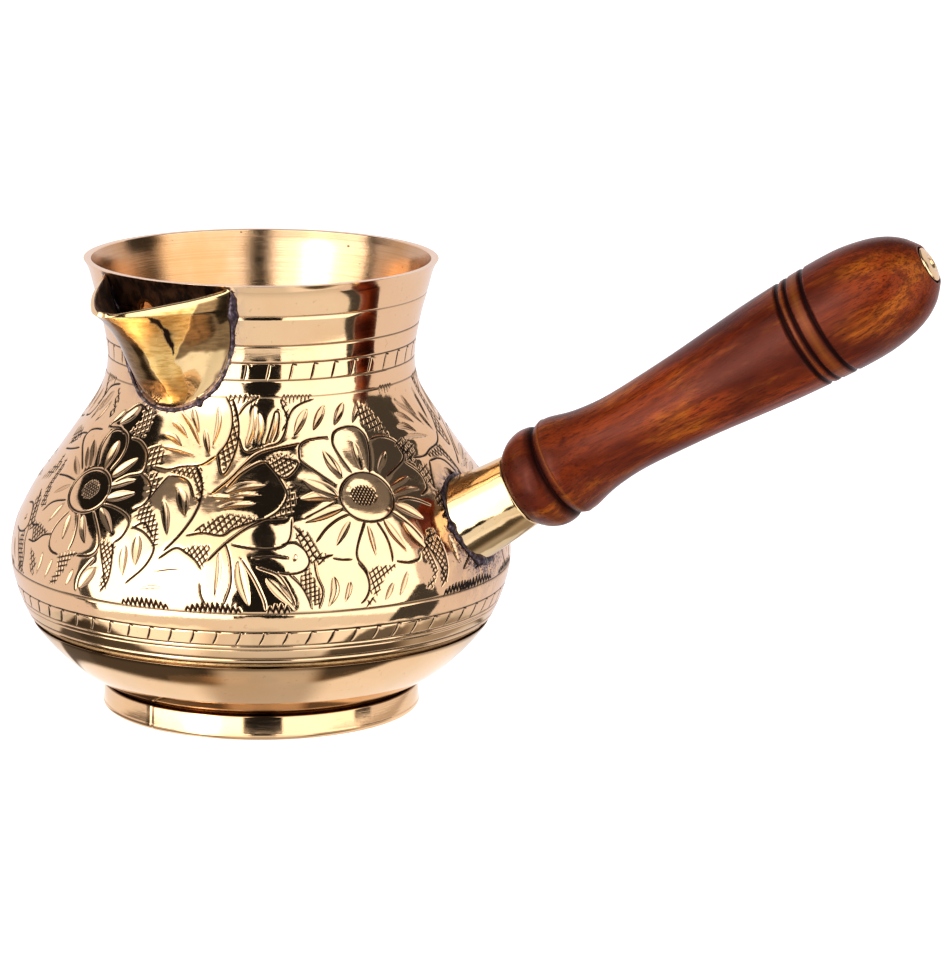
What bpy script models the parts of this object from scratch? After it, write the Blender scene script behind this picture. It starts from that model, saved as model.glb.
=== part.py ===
"""A brass coffee pot (cezve) with a formed pouring spout and a turned wooden handle.

The pot stands on its foot at z = 0 with its axis on Z, and its handle points along +X.
Lengths are in metres. Turned pieces are outlines of (radius, height) swept by a Screw modifier.
"""

import math

import bpy
import numpy as np
from mathutils import Vector

MM = 0.001

# Brass sheet and the fits between pieces
WALL = 1.4 * MM
GAP = 0.3 * MM

# Pot: outer line from the rim down to the foot
RIM_HEIGHT = 101.8 * MM
BODY_LINE_MM = [
    (39.55, 101.8), (38.5, 100.0), (37.2, 95.0), (35.5, 88.5), (34.3, 80.5), (35.0, 75.0),
    (37.4, 70.0), (44.2, 60.0), (51.3, 50.0), (55.6, 40.5), (55.9, 31.5), (51.4, 20.0),
    (43.1, 11.0), (35.4, 6.0),
]
SEAM_HEIGHT = 21.6 * MM
SEAM_GROOVE = 1.3 * MM
SPIGOT_HEIGHT = 4.0 * MM
SPIGOT_WALL = 1.0 * MM
FOOT_RADIUS = 36.0 * MM
FOOT_HEIGHT = 5.4 * MM
FOOT_BAND = 1.8 * MM
FOOT_ROUND = 0.6 * MM
BODY_STEPS = 56

# Spout: a folded sheet outside the neck, over a rosette of pouring holes
SPOUT_ANGLE = math.radians(-107.0)
SPOUT_SHEET = 1.1 * MM
SPOUT_HALF_ANGLE = math.radians(26.0)
SPOUT_SHOULDER = 97.0 * MM
SPOUT_BOTTOM = 73.3 * MM
SPOUT_ROUNDNESS = 2.8
LIP_ROOT_HEIGHT = 100.6 * MM
LIP_TIP_HEIGHT = 96.3 * MM
KEEL_LINE_MM = [
    (58.2, 96.5), (54.2, 94.3), (50.2, 91.3), (47.0, 87.8), (44.5, 84.0), (42.0, 80.2),
    (39.3, 76.8), (35.6, 73.3),
]
# Shape of a level section, as parts of its reach or width, at the bottom and at the lips
CHEEK_REACH = 0.42
RIDGE_SETBACK = 0.30
RIDGE_WIDTH_LOW = 0.55
RIDGE_WIDTH_HIGH = 0.22
RIDGE_ROUNDING = 0.16
LIP_BEND = 1.25
SPOUT_ROWS = 9
SPOUT_COLUMNS = 15
POUR_HOLE_RADIUS = 2.0 * MM
POUR_HOLE_PITCH = 8.0 * MM
POUR_ROSETTE_HEIGHT = 87.5 * MM

# Handle: everything on one axis, which passes the pot's axis on the spout's side of it, at the
# height HANDLE_ROOT, and rises by HANDLE_RISE. Distances along it are from there.
HANDLE_OFFSET = -7.0 * MM
HANDLE_ROOT = 15.8 * MM
HANDLE_RISE = math.radians(31.7)
SOCKET_RADIUS = 8.4 * MM
SOCKET_TAPER = 0.096
SOCKET_WALL = 1.0 * MM
SOCKET_START = 54.0 * MM
GRIP_START = 74.2 * MM
PLUG_START = 65.2 * MM
PLUG_LENGTH = 3.4 * MM
ROD_RADIUS = 2.0 * MM
ROD_START = 65.6 * MM
ROD_END = 101.9 * MM
NUT_RADIUS = 3.95 * MM
NUT_LENGTH = 6.4 * MM
NUT_PROUD = 0.25 * MM
NUT_DOME = 0.6 * MM
NUT_DIMPLE = 0.9 * MM
GRIP_BORE = 2.4 * MM
POCKET_RADIUS = 4.25 * MM
POCKET_DEPTH = 7.0 * MM
# (distance from the grip's lower end, radius)
GRIP_LINE_MM = [
    (0.0, 8.6), (1.2, 9.7), (3.0, 10.8), (5.3, 11.45), (7.6, 11.3), (9.1, 10.6), (9.7, 10.75),
    (11.8, 11.4), (14.4, 10.8), (17.9, 9.85), (22.8, 9.2), (27.8, 9.0), (35.8, 9.35),
    (45.7, 10.0), (55.6, 10.9), (65.5, 11.75), (75.5, 12.3), (83.4, 12.5), (89.4, 12.25),
    (95.3, 11.1), (99.3, 9.55), (102.3, 7.5), (103.9, 5.7), (104.5, 4.8),
]
HANDLE_STEPS = 30

SOLDER_RADIUS = 0.7 * MM


def clear_scene():
    for obj in list(bpy.data.objects):
        bpy.data.objects.remove(obj, do_unlink=True)


def collection(name):
    made = bpy.data.collections.new(name)
    bpy.context.scene.collection.children.link(made)
    return made


def material(name, color, roughness, metallic):
    mat = bpy.data.materials.new(name)
    mat.use_nodes = True
    shader = mat.node_tree.nodes["Principled BSDF"]
    shader.inputs["Base Color"].default_value = (*color, 1.0)
    shader.inputs["Roughness"].default_value = roughness
    shader.inputs["Metallic"].default_value = metallic
    return mat


def as_cutter(obj, cutters):
    for holder in list(obj.users_collection):
        holder.objects.unlink(obj)
    cutters.objects.link(obj)
    obj.hide_render = True
    obj.display_type = "WIRE"
    return obj


def cut(obj, name, cutter):
    boolean = obj.modifiers.new(name, "BOOLEAN")
    boolean.operation = "DIFFERENCE"
    boolean.solver = "EXACT"
    boolean.object = cutter


def mesh_object(name, points, edges, faces, group, mat=None):
    mesh = bpy.data.meshes.new(name)
    mesh.from_pydata([tuple(p) for p in points], edges, faces)
    obj = bpy.data.objects.new(name, mesh)
    group.objects.link(obj)
    if mat:
        mesh.materials.append(mat)
    return obj


def turned(name, outline, group, mat=None, steps=BODY_STEPS, parent=None):
    """A solid of revolution about Z. The outline runs down the outer side and back up inside.

    An outline whose ends are both on the axis is left open, and any other is closed to a loop.
    """
    points = [(radius, 0.0, height) for radius, height in outline]
    edges = [(i, i + 1) for i in range(len(points) - 1)]
    if outline[0][0] > 0 or outline[-1][0] > 0:
        edges.append((len(points) - 1, 0))
    obj = mesh_object(name, points, edges, [], group, mat)
    screw = obj.modifiers.new("turn", "SCREW")
    screw.axis = "Z"
    screw.angle = math.tau
    screw.screw_offset = 0.0
    screw.steps = steps
    screw.render_steps = steps
    screw.use_merge_vertices = True
    screw.merge_threshold = 1e-5
    screw.use_smooth_shade = True
    obj.parent = parent
    return obj


def smooth_line(control, count):
    """Points along a Catmull-Rom curve through control, count of them to each span."""
    knots = np.array(control, float)
    knots = np.vstack([2 * knots[0] - knots[1], knots, 2 * knots[-1] - knots[-2]])
    line = []
    for before, start, end, after in zip(knots, knots[1:], knots[2:], knots[3:]):
        for t in np.arange(count) / count:
            line.append(0.5 * (2 * start + (end - before) * t
                               + (2 * before - 5 * start + 4 * end - after) * t ** 2
                               + (3 * start - before - 3 * end + after) * t ** 3))
    line.append(knots[-2])
    return np.array(line)


BODY_LINE = smooth_line(BODY_LINE_MM, 16) * MM
KEEL_LINE = smooth_line(KEEL_LINE_MM, 12) * MM


def body_radius(height):
    """Outer radius of the pot at a height."""
    return float(np.interp(height, BODY_LINE[::-1, 1], BODY_LINE[::-1, 0]))


def body_normal(height):
    """(radial, vertical) parts of the pot's outward normal at a height."""
    step = 0.4 * MM
    slope = (body_radius(height + step) - body_radius(height - step)) / (2 * step)
    length = math.hypot(1.0, slope)
    return 1.0 / length, -slope / length


def wall_line(heights, depth):
    """The pot's outer line moved into the metal by depth, at these heights."""
    line = []
    for height in heights:
        radial, vertical = body_normal(height)
        line.append((body_radius(height) - depth * radial, height - depth * vertical))
    return line


def keel_radius(height):
    return float(np.interp(height, KEEL_LINE[::-1, 1], KEEL_LINE[::-1, 0]))


def pole(radius, angle, height):
    return Vector((radius * math.cos(angle), radius * math.sin(angle), height))


# Pot

def make_upper_body(parts, cutters, brass):
    """Neck, shoulder and belly down to the seam: one spun shell, pierced behind the spout."""
    heights = np.linspace(RIM_HEIGHT, SEAM_HEIGHT, 17)
    outer = [(body_radius(height), height) for height in heights]
    inner = wall_line(heights, WALL)
    inner[0] = (inner[0][0], RIM_HEIGHT)
    inner[-1] = (inner[-1][0], SEAM_HEIGHT)
    body = turned("upper_body", outer + inner[::-1], parts, brass)
    for number, (across, up) in enumerate(rosette()):
        drill = pour_drill(f"pour_drill_{number}", across, up, cutters)
        cut(body, f"pour_hole_{number}", drill)
    return body


def rosette():
    """Offsets across and up of seven holes: one with six round it."""
    offsets = [(0.0, 0.0)]
    for k in range(6):
        turn = k * math.tau / 6
        offsets.append((POUR_HOLE_PITCH * math.cos(turn), POUR_HOLE_PITCH * math.sin(turn)))
    return offsets


def pour_drill(name, across, up, cutters):
    height = POUR_ROSETTE_HEIGHT + up
    radius = body_radius(height)
    angle = SPOUT_ANGLE + across / radius
    bpy.ops.mesh.primitive_cylinder_add(
        vertices=16, radius=POUR_HOLE_RADIUS, depth=6 * WALL,
        location=pole(radius - WALL / 2, angle, height),
        rotation=(0.0, math.pi / 2, angle),
    )
    drill = bpy.context.object
    drill.name = name
    return as_cutter(drill, cutters)


def make_lower_bowl(parts, brass):
    """The spun bowl: a spigot that fits up inside the belly, and a drawn, flat-bottomed foot."""
    top = SEAM_HEIGHT - SEAM_GROOVE
    inset = WALL + GAP
    spigot_top = SEAM_HEIGHT + SPIGOT_HEIGHT
    foot_core = FOOT_RADIUS - FOOT_BAND - GAP
    spigot_heights = (spigot_top, SEAM_HEIGHT, top)
    spigot = wall_line(spigot_heights, inset)
    outer = [(radius, height) for (radius, _), height in zip(spigot, spigot_heights)]
    heights = np.linspace(top, FOOT_HEIGHT + 1.2 * MM, 8)
    outer += [(body_radius(height), height) for height in heights]
    outer += [(foot_core, FOOT_HEIGHT + GAP), (foot_core, FOOT_ROUND), (foot_core - FOOT_ROUND, 0.0)]
    inner = [(0.0, WALL), (foot_core - 3.0 * MM, WALL), (foot_core - WALL, 2.6 * MM)]
    inner += wall_line(np.linspace(FOOT_HEIGHT + 2.4 * MM, top - 3.0 * MM, 5), WALL)
    inner += wall_line([SEAM_HEIGHT - 1.0 * MM, spigot_top], inset + SPIGOT_WALL)
    inner[-1] = (inner[-1][0], spigot_top)
    # Over the centre of the base and up the inside, closed across the spigot's top edge
    return turned("lower_bowl", [*outer, (0.0, 0.0), *inner], parts, brass)


def make_body_braze(parts, braze):
    """The thin ring of brazing metal that shows in the groove between belly and bowl."""
    top = SEAM_HEIGHT - GAP
    bottom = SEAM_HEIGHT - SEAM_GROOVE + GAP
    outer = body_radius(bottom) - GAP
    inner = body_radius(top) - WALL
    return turned("body_braze", [(outer, top), (outer, bottom), (inner, bottom), (inner, top)],
                  parts, braze)


def make_foot_ring(parts, brass):
    inner = FOOT_RADIUS - FOOT_BAND
    outline = [
        (inner + FOOT_ROUND, FOOT_HEIGHT), (FOOT_RADIUS - FOOT_ROUND, FOOT_HEIGHT),
        (FOOT_RADIUS, FOOT_HEIGHT - FOOT_ROUND), (FOOT_RADIUS, FOOT_ROUND),
        (FOOT_RADIUS - FOOT_ROUND, 0.0), (inner, 0.0), (inner, FOOT_HEIGHT - FOOT_ROUND),
    ]
    return turned("foot_ring", outline, parts, brass)


# Spout

def seam_half_angle(height):
    """Half the angle that the spout's seam spans on the neck at a height: a wide U."""
    depth = (SPOUT_SHOULDER - height) / (SPOUT_SHOULDER - SPOUT_BOTTOM)
    depth = min(max(depth, 0.0), 1.0)
    return SPOUT_HALF_ANGLE * math.sqrt(1.0 - depth ** SPOUT_ROUNDNESS)


def spout_point(height, side):
    """A point of the spout's outer face. side runs from -1 at one seam, over the keel, to 1."""
    half = seam_half_angle(height)
    neck = body_radius(height)
    seam = Vector((neck * math.cos(half), neck * math.sin(half)))
    keel = Vector((keel_radius(height), 0.0))
    rise = (height - SPOUT_BOTTOM) / (LIP_TIP_HEIGHT - SPOUT_BOTTOM)
    rise = min(max(rise, 0.0), 1.0)
    reach = keel.x - seam.x
    # The cheek leaves the neck outwards, and the keel is a rounded ridge that sharpens upwards
    cheek = seam + Vector((CHEEK_REACH * reach, 0.0))
    ridge_width = RIDGE_WIDTH_LOW + (RIDGE_WIDTH_HIGH - RIDGE_WIDTH_LOW) * rise
    ridge = keel + Vector((-RIDGE_SETBACK * reach * rise, ridge_width * seam.y))
    across = abs(side)
    along = math.hypot(side, RIDGE_ROUNDING) - RIDGE_ROUNDING
    along /= math.hypot(1.0, RIDGE_ROUNDING) - RIDGE_ROUNDING
    x = bezier(keel.x, ridge.x, cheek.x, seam.x, along)
    y = bezier(keel.y, ridge.y, cheek.y, seam.y, across)
    return Vector((x, math.copysign(y, side)))


def bezier(start, near_start, near_end, end, t):
    rest = 1.0 - t
    return (start * rest ** 3 + 3 * near_start * rest ** 2 * t
            + 3 * near_end * rest * t ** 2 + end * t ** 3)


def make_spout(parts, cutters, brass):
    """A folded sheet: level curves from seam to seam, lofted up to the lips, trimmed to the neck."""
    sides = np.linspace(-1.0, 1.0, SPOUT_COLUMNS)
    lowest = SPOUT_BOTTOM + 0.5 * MM
    along = Vector((math.cos(SPOUT_ANGLE), math.sin(SPOUT_ANGLE)))
    left = Vector((-along.y, along.x))
    points = []
    for row in range(SPOUT_ROWS):
        level = row / (SPOUT_ROWS - 1)
        line = []
        for side in sides:
            lip = LIP_TIP_HEIGHT + (LIP_ROOT_HEIGHT - LIP_TIP_HEIGHT) * abs(side) ** LIP_BEND
            height = lowest + (lip - lowest) * level
            flat = spout_point(height, side)
            line.append((flat, height))
        ends = [(0.93 * flat, height) for flat, height in (line[0], line[-1])]
        for flat, height in (ends[0], *line, ends[1]):
            spot = along * flat.x + left * flat.y
            points.append((spot.x, spot.y, height))
    width = SPOUT_COLUMNS + 2
    faces = [
        (row * width + i, row * width + i + 1, (row + 1) * width + i + 1, (row + 1) * width + i)
        for row in range(SPOUT_ROWS - 1) for i in range(width - 1)
    ]
    spout = mesh_object("spout", points, [], faces, parts, brass)
    sheet = spout.modifiers.new("sheet", "SOLIDIFY")
    sheet.thickness = SPOUT_SHEET
    sheet.offset = -1.0
    sheet.use_even_offset = True
    cut(spout, "trim_to_neck", cutters.objects["pot_space"])
    return spout


def make_pot_space(cutters):
    """The pot's outside grown by the gap: what spout and socket are trimmed to."""
    heights = np.linspace(RIM_HEIGHT, 8.0 * MM, 30)
    outline = [(0.0, RIM_HEIGHT + 5 * MM), (body_radius(RIM_HEIGHT) + GAP, RIM_HEIGHT + 5 * MM)]
    outline += wall_line(heights, -GAP)
    outline += [(0.0, 8.0 * MM)]
    return as_cutter(turned("pot_space", outline, cutters), cutters)


def tube_along(name, path, radius, group, mat, closed=False):
    curve = bpy.data.curves.new(name, "CURVE")
    curve.dimensions = "3D"
    curve.bevel_depth = radius
    curve.bevel_resolution = 2
    curve.use_fill_caps = True
    spline = curve.splines.new("POLY")
    spline.points.add(len(path) - 1)
    for point, place in zip(spline.points, path):
        point.co = (*place, 1.0)
    spline.use_cyclic_u = closed
    curve.materials.append(mat)
    obj = bpy.data.objects.new(name, curve)
    group.objects.link(obj)
    return obj


def make_spout_solder(parts, solder):
    """The solder bead along the spout's seam, from one lip's root round the bottom to the other."""
    stand_off = SOLDER_RADIUS + 1.5 * GAP
    half_angle = SPOUT_HALF_ANGLE + math.radians(3.4)
    depth = SPOUT_SHOULDER - SPOUT_BOTTOM + 1.7 * MM
    count = 26
    path = []
    for k in range(count + 1):
        turn = math.pi * (k / count - 0.5)
        height = SPOUT_SHOULDER - depth * max(math.cos(turn), 0.0) ** (2 / SPOUT_ROUNDNESS)
        radial, vertical = body_normal(height)
        radius = body_radius(height) + stand_off * radial
        angle = SPOUT_ANGLE + half_angle * math.sin(turn)
        path.append(pole(radius, angle, height + stand_off * vertical))
    return tube_along("spout_solder", path, SOLDER_RADIUS, parts, solder)


# Handle

def handle_axis(parts):
    """An empty whose Z runs along the handle: turned handle pieces stand on it."""
    axis = bpy.data.objects.new("handle_axis", None)
    axis.location = (0.0, HANDLE_OFFSET, HANDLE_ROOT)
    axis.rotation_euler = (0.0, math.pi / 2 - HANDLE_RISE, 0.0)
    parts.objects.link(axis)
    return axis


def socket_radius(distance):
    """Outer radius of the socket, which narrows towards the grip."""
    return SOCKET_RADIUS + SOCKET_TAPER * (GRIP_START - GAP - distance)


def make_socket(parts, cutters, axis, brass):
    """The tapered tube that stands on the belly, saddle-cut to it."""
    end = GRIP_START - GAP
    start = SOCKET_START
    outer = [(socket_radius(end), end), (socket_radius(start), start)]
    outline = outer + [(radius - SOCKET_WALL, distance) for radius, distance in outer[::-1]]
    socket = turned("handle_socket", outline, parts, brass, HANDLE_STEPS, axis)
    cut(socket, "saddle", cutters.objects["pot_space"])
    return socket


def make_socket_solder(parts, solder):
    """The solder bead round the root of the socket."""
    stand_off = SOLDER_RADIUS + 1.5 * GAP
    along = Vector((math.cos(HANDLE_RISE), 0.0, math.sin(HANDLE_RISE)))
    side = Vector((0.0, 1.0, 0.0))
    over = along.cross(side)
    count = 28
    path = []
    for k in range(count):
        turn = math.tau * k / count
        outward = side * math.cos(turn) + over * math.sin(turn)
        low, high = 40 * MM, 75 * MM
        while high - low > 0.01 * MM:
            middle = (low + high) / 2
            spot = Vector((0.0, HANDLE_OFFSET, HANDLE_ROOT)) + along * middle
            spot += outward * (socket_radius(middle) + stand_off)
            clearance = (spot.xy.length - body_radius(spot.z)) * body_normal(spot.z)[0]
            if clearance > stand_off:
                high = middle
            else:
                low = middle
        path.append(spot)
    return tube_along("socket_solder", path, SOLDER_RADIUS, parts, solder, closed=True)


def make_plug(parts, axis, brass):
    """The brass plug brazed into the socket, which the rod screws into."""
    outer = SOCKET_RADIUS - SOCKET_WALL - GAP
    bore = ROD_RADIUS + GAP
    end = PLUG_START + PLUG_LENGTH
    outline = [(outer, end), (outer, PLUG_START), (bore, PLUG_START), (bore, end)]
    return turned("anchor_plug", outline, parts, brass, HANDLE_STEPS, axis)


def make_rod(parts, axis, steel):
    """The rod through the grip, from the plug in the socket to the nut in the tip."""
    end = GRIP_START + ROD_END
    outline = [(0.0, end), (ROD_RADIUS, end), (ROD_RADIUS, ROD_START), (0.0, ROD_START)]
    return turned("tie_rod", outline, parts, steel, 20, axis)


def make_grip(parts, axis, wood):
    """The turned grip: bead, waist and bulb, bored for the rod, with a tenon into the socket."""
    tenon = SOCKET_RADIUS - SOCKET_WALL - GAP
    tenon_end = PLUG_START + PLUG_LENGTH + GAP
    outside = [(radius * MM, GRIP_START + distance * MM) for distance, radius in GRIP_LINE_MM]
    tip = outside[-1][1]
    pocket_floor = tip - POCKET_DEPTH
    outline = outside[::-1] + [
        (tenon, GRIP_START), (tenon, tenon_end), (GRIP_BORE, tenon_end),
        (GRIP_BORE, pocket_floor), (POCKET_RADIUS, pocket_floor), (POCKET_RADIUS, tip),
    ]
    return turned("wooden_grip", outline, parts, wood, HANDLE_STEPS, axis)


def make_nut(parts, axis, brass):
    """The domed nut let into the grip's tip, punched with a dimple, drilled blind for the rod."""
    tip = GRIP_START + GRIP_LINE_MM[-1][0] * MM
    rim = tip + NUT_PROUD
    bottom = tip - NUT_LENGTH
    bore = ROD_RADIUS + GAP
    bore_end = GRIP_START + ROD_END + GAP
    dome = [
        (NUT_DIMPLE * 2 * math.sin(turn), rim + NUT_DOME - NUT_DIMPLE * math.cos(turn))
        for turn in np.linspace(0.0, math.pi / 2, 4)[:-1]
    ]
    outline = dome + [
        (NUT_DIMPLE * 2, rim + NUT_DOME), (NUT_RADIUS * 0.8, rim + NUT_DOME * 0.6),
        (NUT_RADIUS, rim), (NUT_RADIUS, bottom), (bore, bottom), (bore, bore_end), (0.0, bore_end),
    ]
    return turned("end_nut", outline, parts, brass, 24, axis)


def main():
    clear_scene()
    parts = collection("coffee_pot")
    cutters = collection("cutters")
    brass = material("polished_brass", (0.80, 0.56, 0.28), 0.18, 1.0)
    gold = material("spout_brass", (0.80, 0.54, 0.20), 0.22, 1.0)
    braze = material("brazing_metal", (0.62, 0.45, 0.24), 0.35, 1.0)
    solder = material("dark_solder", (0.20, 0.17, 0.18), 0.60, 0.6)
    steel = material("rod_steel", (0.50, 0.50, 0.50), 0.40, 1.0)
    wood = material("varnished_wood", (0.30, 0.09, 0.03), 0.30, 0.0)

    make_pot_space(cutters)
    make_upper_body(parts, cutters, brass)
    make_lower_bowl(parts, brass)
    make_body_braze(parts, braze)
    make_foot_ring(parts, brass)
    make_spout(parts, cutters, gold)
    make_spout_solder(parts, solder)

    axis = handle_axis(parts)
    make_socket(parts, cutters, axis, gold)
    make_socket_solder(parts, solder)
    make_plug(parts, axis, brass)
    make_rod(parts, axis, steel)
    make_grip(parts, axis, wood)
    make_nut(parts, axis, brass)


main()
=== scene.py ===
"""Looks of a brass coffee pot (cezve): engraved pot, folded spout, socket and turned grip.

Shapes are worked out in millimetres in the row frame and turned to metres when a mesh is made.
Angles on the pot are degrees round +Z from +X, which is where the handle points.
"""

import math

import bpy
import numpy as np
from mathutils import Matrix, Vector, noise


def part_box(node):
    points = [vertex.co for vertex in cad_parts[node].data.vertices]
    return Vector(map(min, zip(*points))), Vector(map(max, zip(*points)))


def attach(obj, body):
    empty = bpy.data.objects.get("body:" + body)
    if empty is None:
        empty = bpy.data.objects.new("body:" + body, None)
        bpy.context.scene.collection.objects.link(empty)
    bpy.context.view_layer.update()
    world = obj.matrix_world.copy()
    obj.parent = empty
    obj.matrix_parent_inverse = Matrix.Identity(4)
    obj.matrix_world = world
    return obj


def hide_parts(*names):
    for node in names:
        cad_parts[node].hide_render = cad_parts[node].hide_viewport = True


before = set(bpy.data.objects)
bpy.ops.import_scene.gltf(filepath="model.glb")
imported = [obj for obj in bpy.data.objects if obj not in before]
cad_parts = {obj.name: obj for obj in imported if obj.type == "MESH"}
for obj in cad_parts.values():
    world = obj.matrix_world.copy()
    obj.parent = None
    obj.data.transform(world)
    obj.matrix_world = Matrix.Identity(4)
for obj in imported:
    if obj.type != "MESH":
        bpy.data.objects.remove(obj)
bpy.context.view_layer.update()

MM = 0.001
RIM_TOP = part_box("upper_body")[1].z / MM
SEAM_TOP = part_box("upper_body")[0].z / MM
FOOT_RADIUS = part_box("foot_ring")[1].x / MM
FOOT_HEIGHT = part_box("foot_ring")[1].z / MM

WALL = 1.4
GAP = 0.3    # room between neighbouring pieces, as the CAD leaves it
SEAM_GROOVE = 1.3    # height of the groove between body and bowl
FOOT_BAND = 1.8    # thickness of the foot ring's band

# Outer line of the pot (radius, height), as in the CAD
BODY_LINE = [
    (39.55, 101.8), (38.5, 100.0), (37.2, 95.0), (35.5, 88.5), (34.3, 80.5), (35.0, 75.0),
    (37.4, 70.0), (44.2, 60.0), (51.3, 50.0), (55.6, 40.5), (55.9, 31.5), (51.4, 20.0),
    (43.1, 11.0), (35.4, 6.0),
]

LAP_ANGLE = -113.7
POLE = 0.02    # how near a turned piece's outline comes to its axis, in mm

SPOUT_ANGLE = -107.0
SPOUT_SHEET = 1.1
SPOUT_HALF_ANGLE = math.radians(26.0)
SPOUT_SHOULDER = 97.0
SPOUT_BOTTOM = 73.3
SPOUT_ROUNDNESS = 2.8
LIP_ROOT_HEIGHT = 100.6
LIP_TIP_HEIGHT = 96.3
KEEL_LINE = [
    (58.2, 96.5), (54.2, 94.3), (50.2, 91.3), (47.0, 87.8), (44.5, 84.0), (42.0, 80.2),
    (39.3, 76.8), (35.6, 73.3),
]
# Bend of the spout's cross-section between its ridge and its seam, as parts of the whole
CHEEK_REACH = 0.26
CHEEK_HOLLOW_LOW = 0.50
CHEEK_HOLLOW_HIGH = 0.92
RIDGE_WIDTH_LOW = 0.52
RIDGE_WIDTH_HIGH = 0.24
RIDGE_ROUNDING = 0.16
LIP_BEND = 1.25
HOLE_RADIUS = 2.0
HOLE_PITCH = 8.0
ROSETTE_HEIGHT = 87.5

HANDLE_OFFSET = -7.0
HANDLE_ROOT = 15.8
HANDLE_RISE = math.radians(31.7)
SOCKET_RADIUS = 8.4
SOCKET_TAPER = 0.096    # growth of the socket's radius for each mm towards the pot
SOCKET_WALL = 1.0
GRIP_START = 74.2
NUT_RADIUS = 3.95
NUT_LENGTH = 6.4
NUT_PROUD = 0.25
NUT_DOME = 0.6
NUT_DIMPLE = 0.9
GRIP_BORE = 2.4
POCKET_RADIUS = 4.25
POCKET_DEPTH = 7.0
GRIP_LINE = [
    (0.0, 8.6), (1.2, 9.7), (3.0, 10.8), (5.3, 11.45), (7.6, 11.3), (9.1, 10.6), (9.7, 10.75),
    (11.8, 11.4), (14.4, 10.8), (17.9, 9.85), (22.8, 9.2), (27.8, 9.0), (35.8, 9.35),
    (45.7, 10.0), (55.6, 10.9), (65.5, 11.75), (75.5, 12.3), (83.4, 12.5), (89.4, 12.25),
    (95.3, 11.1), (99.3, 9.55), (102.3, 7.5), (103.9, 5.7), (104.5, 4.8),
]
GRIP_LENGTH = GRIP_LINE[-1][0]
BEAD_GROOVE = 9.25
BURNT_RINGS = [(73.6, 0.75), (75.8, 0.62), (79.8, 0.75)]
WORN_RINGS = [(11.2, 0.5, 0.4), (77.8, 1.4, 0.45), (74.7, 0.4, 0.35)]


# Lines and meshes

def smooth_line(control, count):
    knots = np.array(control, float)
    knots = np.vstack([2 * knots[0] - knots[1], knots, 2 * knots[-1] - knots[-2]])
    t = (np.arange(count) / count)[:, None]
    line = [
        0.5 * (2 * b + (c - a) * t + (2 * a - 5 * b + 4 * c - d) * t ** 2
               + (3 * b - a - 3 * c + d) * t ** 3)
        for a, b, c, d in zip(knots, knots[1:], knots[2:], knots[3:])
    ]
    return np.vstack([*line, knots[-2:-1]])


def settled(values, step, reach):
    """Values at an even step, averaged over a bell of this reach; the ends keep their slope."""
    half = int(3 * reach / step)
    offsets = np.arange(-half, half + 1) * step
    bell = np.exp(-0.5 * (offsets / reach) ** 2)
    padded = np.concatenate([
        2 * values[0] - values[half:0:-1], values, 2 * values[-1] - values[-2:-half - 2:-1],
    ])
    return np.convolve(padded, bell / bell.sum(), "valid")


BODY_CURVE = smooth_line(BODY_LINE, 40)[::-1]
LEVEL_STEP = 0.05
LEVELS = np.arange(BODY_LINE[-1][1], RIM_TOP + 0.01, LEVEL_STEP)
RADII = settled(np.interp(LEVELS, BODY_CURVE[:, 1], BODY_CURVE[:, 0]), LEVEL_STEP, 1.1)
ARC = np.concatenate([[0.0], np.cumsum(np.hypot(np.diff(LEVELS), np.diff(RADII)))])
KEEL_CURVE = smooth_line(KEEL_LINE, 24)[::-1]


def body_radius(height):
    return np.interp(height, LEVELS, RADII)


def body_normal(height):
    slope = (body_radius(height + 0.3) - body_radius(height - 0.3)) / 0.6
    length = np.hypot(1.0, slope)
    return 1.0 / length, -slope / length


def wall_line(heights, depth):
    radial, vertical = body_normal(heights)
    return np.stack([body_radius(heights) - depth * radial, heights - depth * vertical], 1)


def rounded(corners, steps):
    """A line through (x, y, fillet) corners, each rounded, with a point close to each curve's ends."""
    corners = [tuple(map(float, corner)) for corner in corners]
    line = [np.array(corners[0][:2])]
    for (ax, ay, _), (bx, by, size), (cx, cy, _) in zip(corners, corners[1:], corners[2:]):
        corner = np.array((bx, by))
        before = np.array((ax, ay)) - corner
        after = np.array((cx, cy)) - corner
        size = min(size, 0.45 * np.linalg.norm(before), 0.45 * np.linalg.norm(after))
        if size <= 0:
            line.append(corner)
            continue
        start = corner + before / np.linalg.norm(before) * size
        end = corner + after / np.linalg.norm(after) * size
        line.append(start + (start - corner) * 0.25)
        for t in np.linspace(0, 1, steps):
            line.append((1 - t) ** 2 * start + 2 * t * (1 - t) * corner + t ** 2 * end)
        line.append(end + (end - corner) * 0.25)
    line.append(np.array(corners[-1][:2]))
    return np.array(line)


def filled_in(line, longest):
    """The line with points added so that no step is longer than this."""
    made = [line[0]]
    for start, end in zip(line, line[1:]):
        count = max(1, math.ceil(np.linalg.norm(end - start) / longest))
        made += [start + (end - start) * (k + 1) / count for k in range(count)]
    return np.array(made)


def smooth_step(value, low, high):
    t = np.clip((value - low) / (high - low), 0, 1)
    return t * t * (3 - 2 * t)


def quads(rows, columns, across=True, along=False, first=0):
    """Corner numbers of a grid's faces. across and along say whether it closes on itself that way."""
    i = np.arange(rows if along else rows - 1)[:, None]
    j = np.arange(columns if across else columns - 1)[None, :]
    below, right = (i + 1) % rows, (j + 1) % columns
    grid = np.stack([
        i * columns + j, i * columns + right, below * columns + right, below * columns + j,
    ], -1)
    return grid.reshape(-1, 4) + first


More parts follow.
